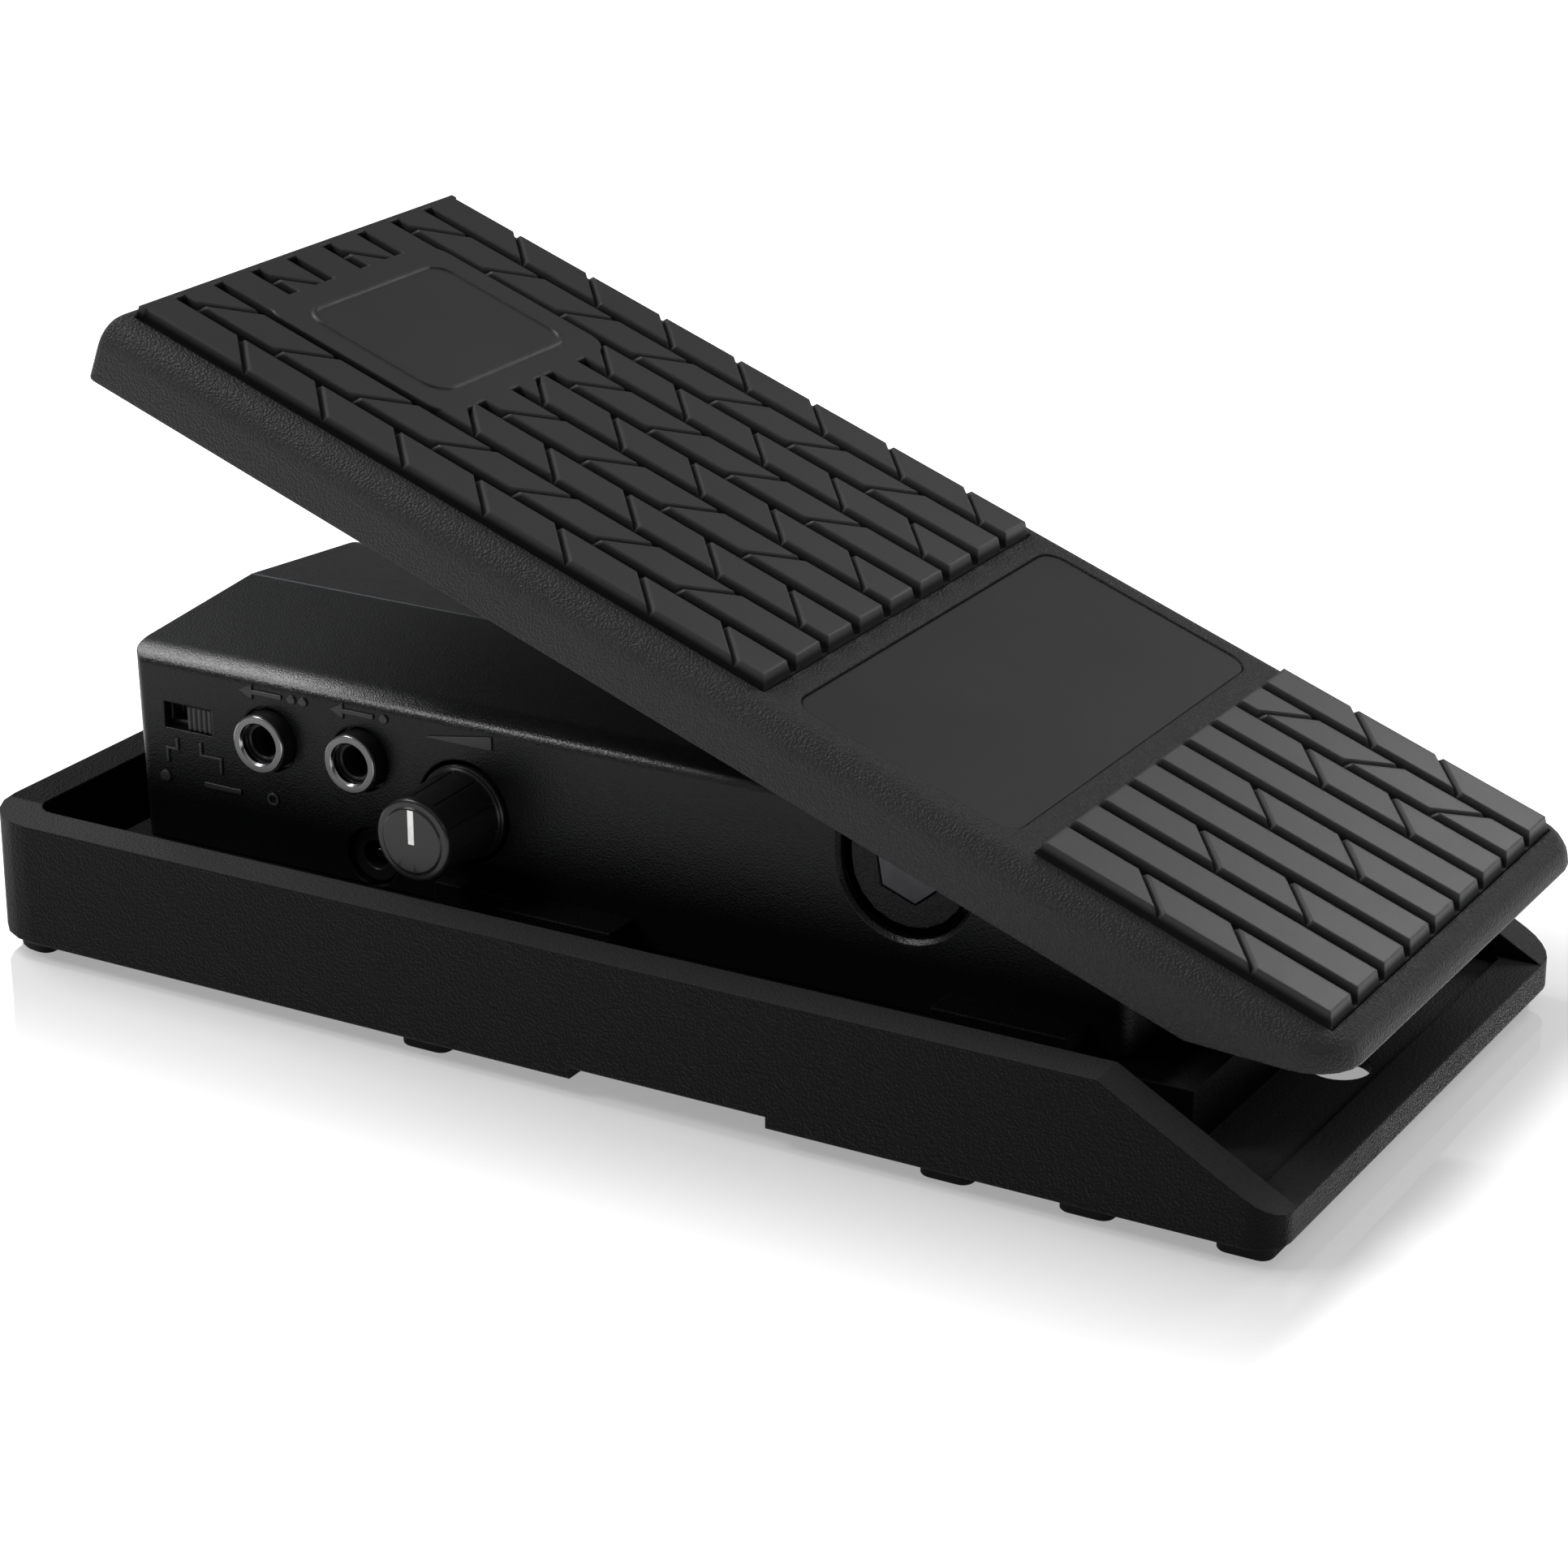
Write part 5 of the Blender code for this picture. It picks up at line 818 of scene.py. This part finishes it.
# Where the marks are, from the piece that each belongs to; WEDGE and the two lines are (y, z) in millimetres
SOCKET_MARK_UP = 9.6 * MM
ARROW_AHEAD = 1.5 * MM
SOCKET_DOT_BEHIND = 6.2 * MM
SOCKET_DOT_PITCH = 2.8 * MM
SOCKET_DOT_RADIUS = 1.0 * MM
LEVEL_MARK_UP = 15.4 * MM
WEDGE = [(8.0, -1.3), (-7.2, -1.3), (-7.2, 1.7), (8.0, -0.9)]
WINDOW_AHEAD = 5.1 * MM
LINES_BELOW = 2.2 * MM
TOE_LINE = [(-2.9, 0.0), (-2.9, -2.4), (-0.4, -2.4), (-0.4, -5.6)]
HEEL_LINE = [(2.6, 0.0), (2.6, -2.6), (-2.4, -2.6), (-2.4, -5.8)]
MODE_ROW_BELOW = 8.8 * MM
TOE_MARK_AHEAD = 0.5 * MM
MIDDLE_MARK_BEHIND = 2.6 * MM
HEEL_MARK_BEHIND = 15.2 * MM
MODE_DOT_RADIUS = 1.25 * MM
MODE_RING_RADIUS = 1.15 * MM
MODE_BAR_HALF = 4.6 * MM
MODE_BAR_WIDTH = 1.1 * MM


def shifted(path, y, z):
    """A path in millimetres, placed at a point."""
    return [(y + along * MM, z + up * MM) for along, up in path]


def add_marks():
    """Plain pictograms where the control side carries its function marks."""
    for number in (1, 2):
        centre = middle(f"output_jack_ring_{number}")
        z = centre.z + SOCKET_MARK_UP
        outlines = [arrow(centre.y + ARROW_AHEAD, z)]
        for dot_number in range(number):
            y = centre.y - SOCKET_DOT_BEHIND - dot_number * SOCKET_DOT_PITCH
            outlines.append(disc((y, z), SOCKET_DOT_RADIUS))
        raised_marks(f"output_mark_{number}", outlines)
    knob = middle("min_volume_knob")
    raised_marks("level_mark", [shifted(WEDGE, knob.y, knob.z + LEVEL_MARK_UP)])
    low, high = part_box("mode_switch_slider")
    window_toe = high.y + WINDOW_AHEAD
    below = low.z - LINES_BELOW
    toe_line = ribbon(shifted(TOE_LINE, window_toe, below), LINE)
    heel_line = ribbon(shifted(HEEL_LINE, low.y, below), LINE)
    raised_marks("mode_switch_lines", [toe_line, heel_line])
    row = below - MODE_ROW_BELOW
    middle_mark = low.y - MIDDLE_MARK_BEHIND
    bar = [(middle_mark - MODE_BAR_HALF, row), (middle_mark + MODE_BAR_HALF, row)]
    marks = [disc((window_toe + TOE_MARK_AHEAD, row), MODE_DOT_RADIUS), ribbon(bar, MODE_BAR_WIDTH)]
    marks += ring_outlines((low.y - HEEL_MARK_BEHIND, row), MODE_RING_RADIUS, LINE)
    raised_marks("mode_marks", marks)


for side in ("output", "input"):
    for number in (1, 2):
        socket_ring(f"{side}_jack_ring_{number}")
housing_with_ridge()
fluted_knob()
knob_pointer()
ribbed_slider()
add_marks()


# ---------------------------------------------------------------- stage, light and camera

FLOOR_REACH = 6.0
MIRROR_BAND = (0.0, 90.0 * MM, 0.50, 0.0)
HEELWARD_FADE = 4.0                 # how much faster the mirror fades toward the heel
FLOOR_BLOTCH_SIZE = 0.6
FLOOR_DARK = (0.80, 0.80, 0.80, 1.0)
FLOOR_PALE = (0.84, 0.84, 0.84, 1.0)
FLOOR_GLOW = 0.70
MIRROR_TONE = (0.9, 0.9, 0.9, 1.0)
MIRROR_ROUGHNESS = 0.05
WHITE = (1.0, 1.0, 1.0, 1.0)


def add_floor():
    """A pale floor with a soft mirror band round the tray, which fades within a few centimetres of it."""
    low, high = cad_box
    mesh = bpy.data.meshes.new("floor")
    corners = [(x * FLOOR_REACH, y * FLOOR_REACH, 0.0) for x, y in ((-1, -1), (1, -1), (1, 1), (-1, 1))]
    mesh.from_pydata(corners, [], [(0, 1, 2, 3)])
    floor = place_new("floor", mesh)
    material, tree, place = new_material("floor_pale")
    spot = node(tree, "ShaderNodeSeparateXYZ", {"Vector": place})
    beyond = []
    for axis in (0, 1):
        half = (high[axis] - low[axis]) / 2
        centre = (high[axis] + low[axis]) / 2
        off = maths(tree, "ABSOLUTE", maths(tree, "SUBTRACT", spot.outputs[axis], centre))
        beyond.append(maths(tree, "MAXIMUM", maths(tree, "SUBTRACT", off, half), 0.0))
    heelward = maths(tree, "MAXIMUM", maths(tree, "SUBTRACT", low[1], spot.outputs[1]), 0.0)
    beyond[1] = added(tree, beyond[1], heelward, HEELWARD_FADE)
    squares = [maths(tree, "MULTIPLY", value, value) for value in beyond]
    distance = maths(tree, "SQRT", maths(tree, "ADD", *squares))
    share = ranged(tree, distance, *MIRROR_BAND, smooth=True)
    pale = noise(tree, place, FLOOR_BLOTCH_SIZE, detail=2.0)
    tone = mixed(tree, pale, FLOOR_DARK, FLOOR_PALE)
    diffuse = node(tree, "ShaderNodeBsdfDiffuse", {"Color": tone}).outputs[0]
    glow = node(tree, "ShaderNodeEmission", {"Color": WHITE, "Strength": FLOOR_GLOW}).outputs[0]
    lit = node(tree, "ShaderNodeAddShader", {0: diffuse, 1: glow}).outputs[0]
    inputs = {"Color": MIRROR_TONE, "Roughness": MIRROR_ROUGHNESS}
    mirror = node(tree, "ShaderNodeBsdfAnisotropic", inputs).outputs[0]
    whole = node(tree, "ShaderNodeMixShader", {0: share, 1: lit, 2: mirror}).outputs[0]
    node(tree, "ShaderNodeOutputMaterial", {"Surface": whole})
    mesh.materials.append(material)


# The sky's strength by height, and what it falls to below the horizon
SKY_ABOVE = (0.15, 0.85, 0.07, 0.46)
SKY_BELOW = (-0.12, 0.0, 0.12, 1.0)


def add_world():
    """A soft studio: pale above, near black below the horizon, and plain white to the camera itself."""
    world = bpy.data.worlds.new("studio")
    bpy.context.scene.world = world
    world.use_nodes = True
    tree = world.node_tree
    tree.nodes.clear()
    height = part_of(tree, node(tree, "ShaderNodeTexCoord").outputs["Generated"], "Z")
    above = ranged(tree, height, *SKY_ABOVE, smooth=True)
    below = ranged(tree, height, *SKY_BELOW, smooth=True)
    strength = maths(tree, "MULTIPLY", above, below)
    seen = node(tree, "ShaderNodeLightPath").outputs["Is Camera Ray"]
    strength = maths(tree, "MAXIMUM", strength, seen)
    background = node(tree, "ShaderNodeBackground", {"Color": WHITE, "Strength": strength})
    node(tree, "ShaderNodeOutputWorld", {"Surface": background.outputs[0]})


# Soft lights: name, place, what each points at, size and power in watts
LIGHTS = [
    ("side_softbox", (-0.60, 0.76, 0.92), (0.0, 0.05, 0.05), (0.42, 0.28), 5.5),
    ("top_softbox", (0.02, 0.70, 0.95), (-0.03, 0.08, 0.06), (0.5, 0.45), 7.0),
    ("heel_softbox", (0.95, -0.33, 0.66), (0.0, -0.10, 0.06), (0.42, 0.42), 3.6),
    ("heel_fill", (-0.10, -1.10, 0.70), (0.0, -0.10, 0.04), (0.6, 0.4), 2.0),
    ("roof_glow", (0.74, 1.02, 0.40), (-0.03, 0.12, 0.06), (0.26, 0.26), 0.35),
]


def add_area(name, place, target, size, power):
    """A rectangular soft light."""
    light = bpy.data.lights.new(name, "AREA")
    light.shape = "RECTANGLE"
    light.size, light.size_y = size
    light.energy = power
    lamp = place_new(name, light)
    lamp.location = place
    lamp.rotation_euler = (Vector(target) - Vector(place)).to_track_quat("-Z", "Y").to_euler()


def add_camera():
    """The camera, at the viewing angle of the object's picture."""
    camera = bpy.data.cameras.new("camera")
    camera.sensor_width = SENSOR
    camera.lens = FOCAL_PIXELS * SENSOR / FRAME_PIXELS
    camera.clip_start = CLIP_START
    holder = place_new("camera", camera)
    holder.location = CAMERA_PLACE
    forward = Vector((
        math.cos(CAMERA_YAW) * math.cos(CAMERA_PITCH),
        math.sin(CAMERA_YAW) * math.cos(CAMERA_PITCH),
        -math.sin(CAMERA_PITCH),
    ))
    holder.rotation_euler = forward.to_track_quat("-Z", "Y").to_euler()
    bpy.context.scene.camera = holder


add_floor()
add_world()
for light_settings in LIGHTS:
    add_area(*light_settings)
add_camera()
bpy.context.scene.view_settings.view_transform = "Standard"
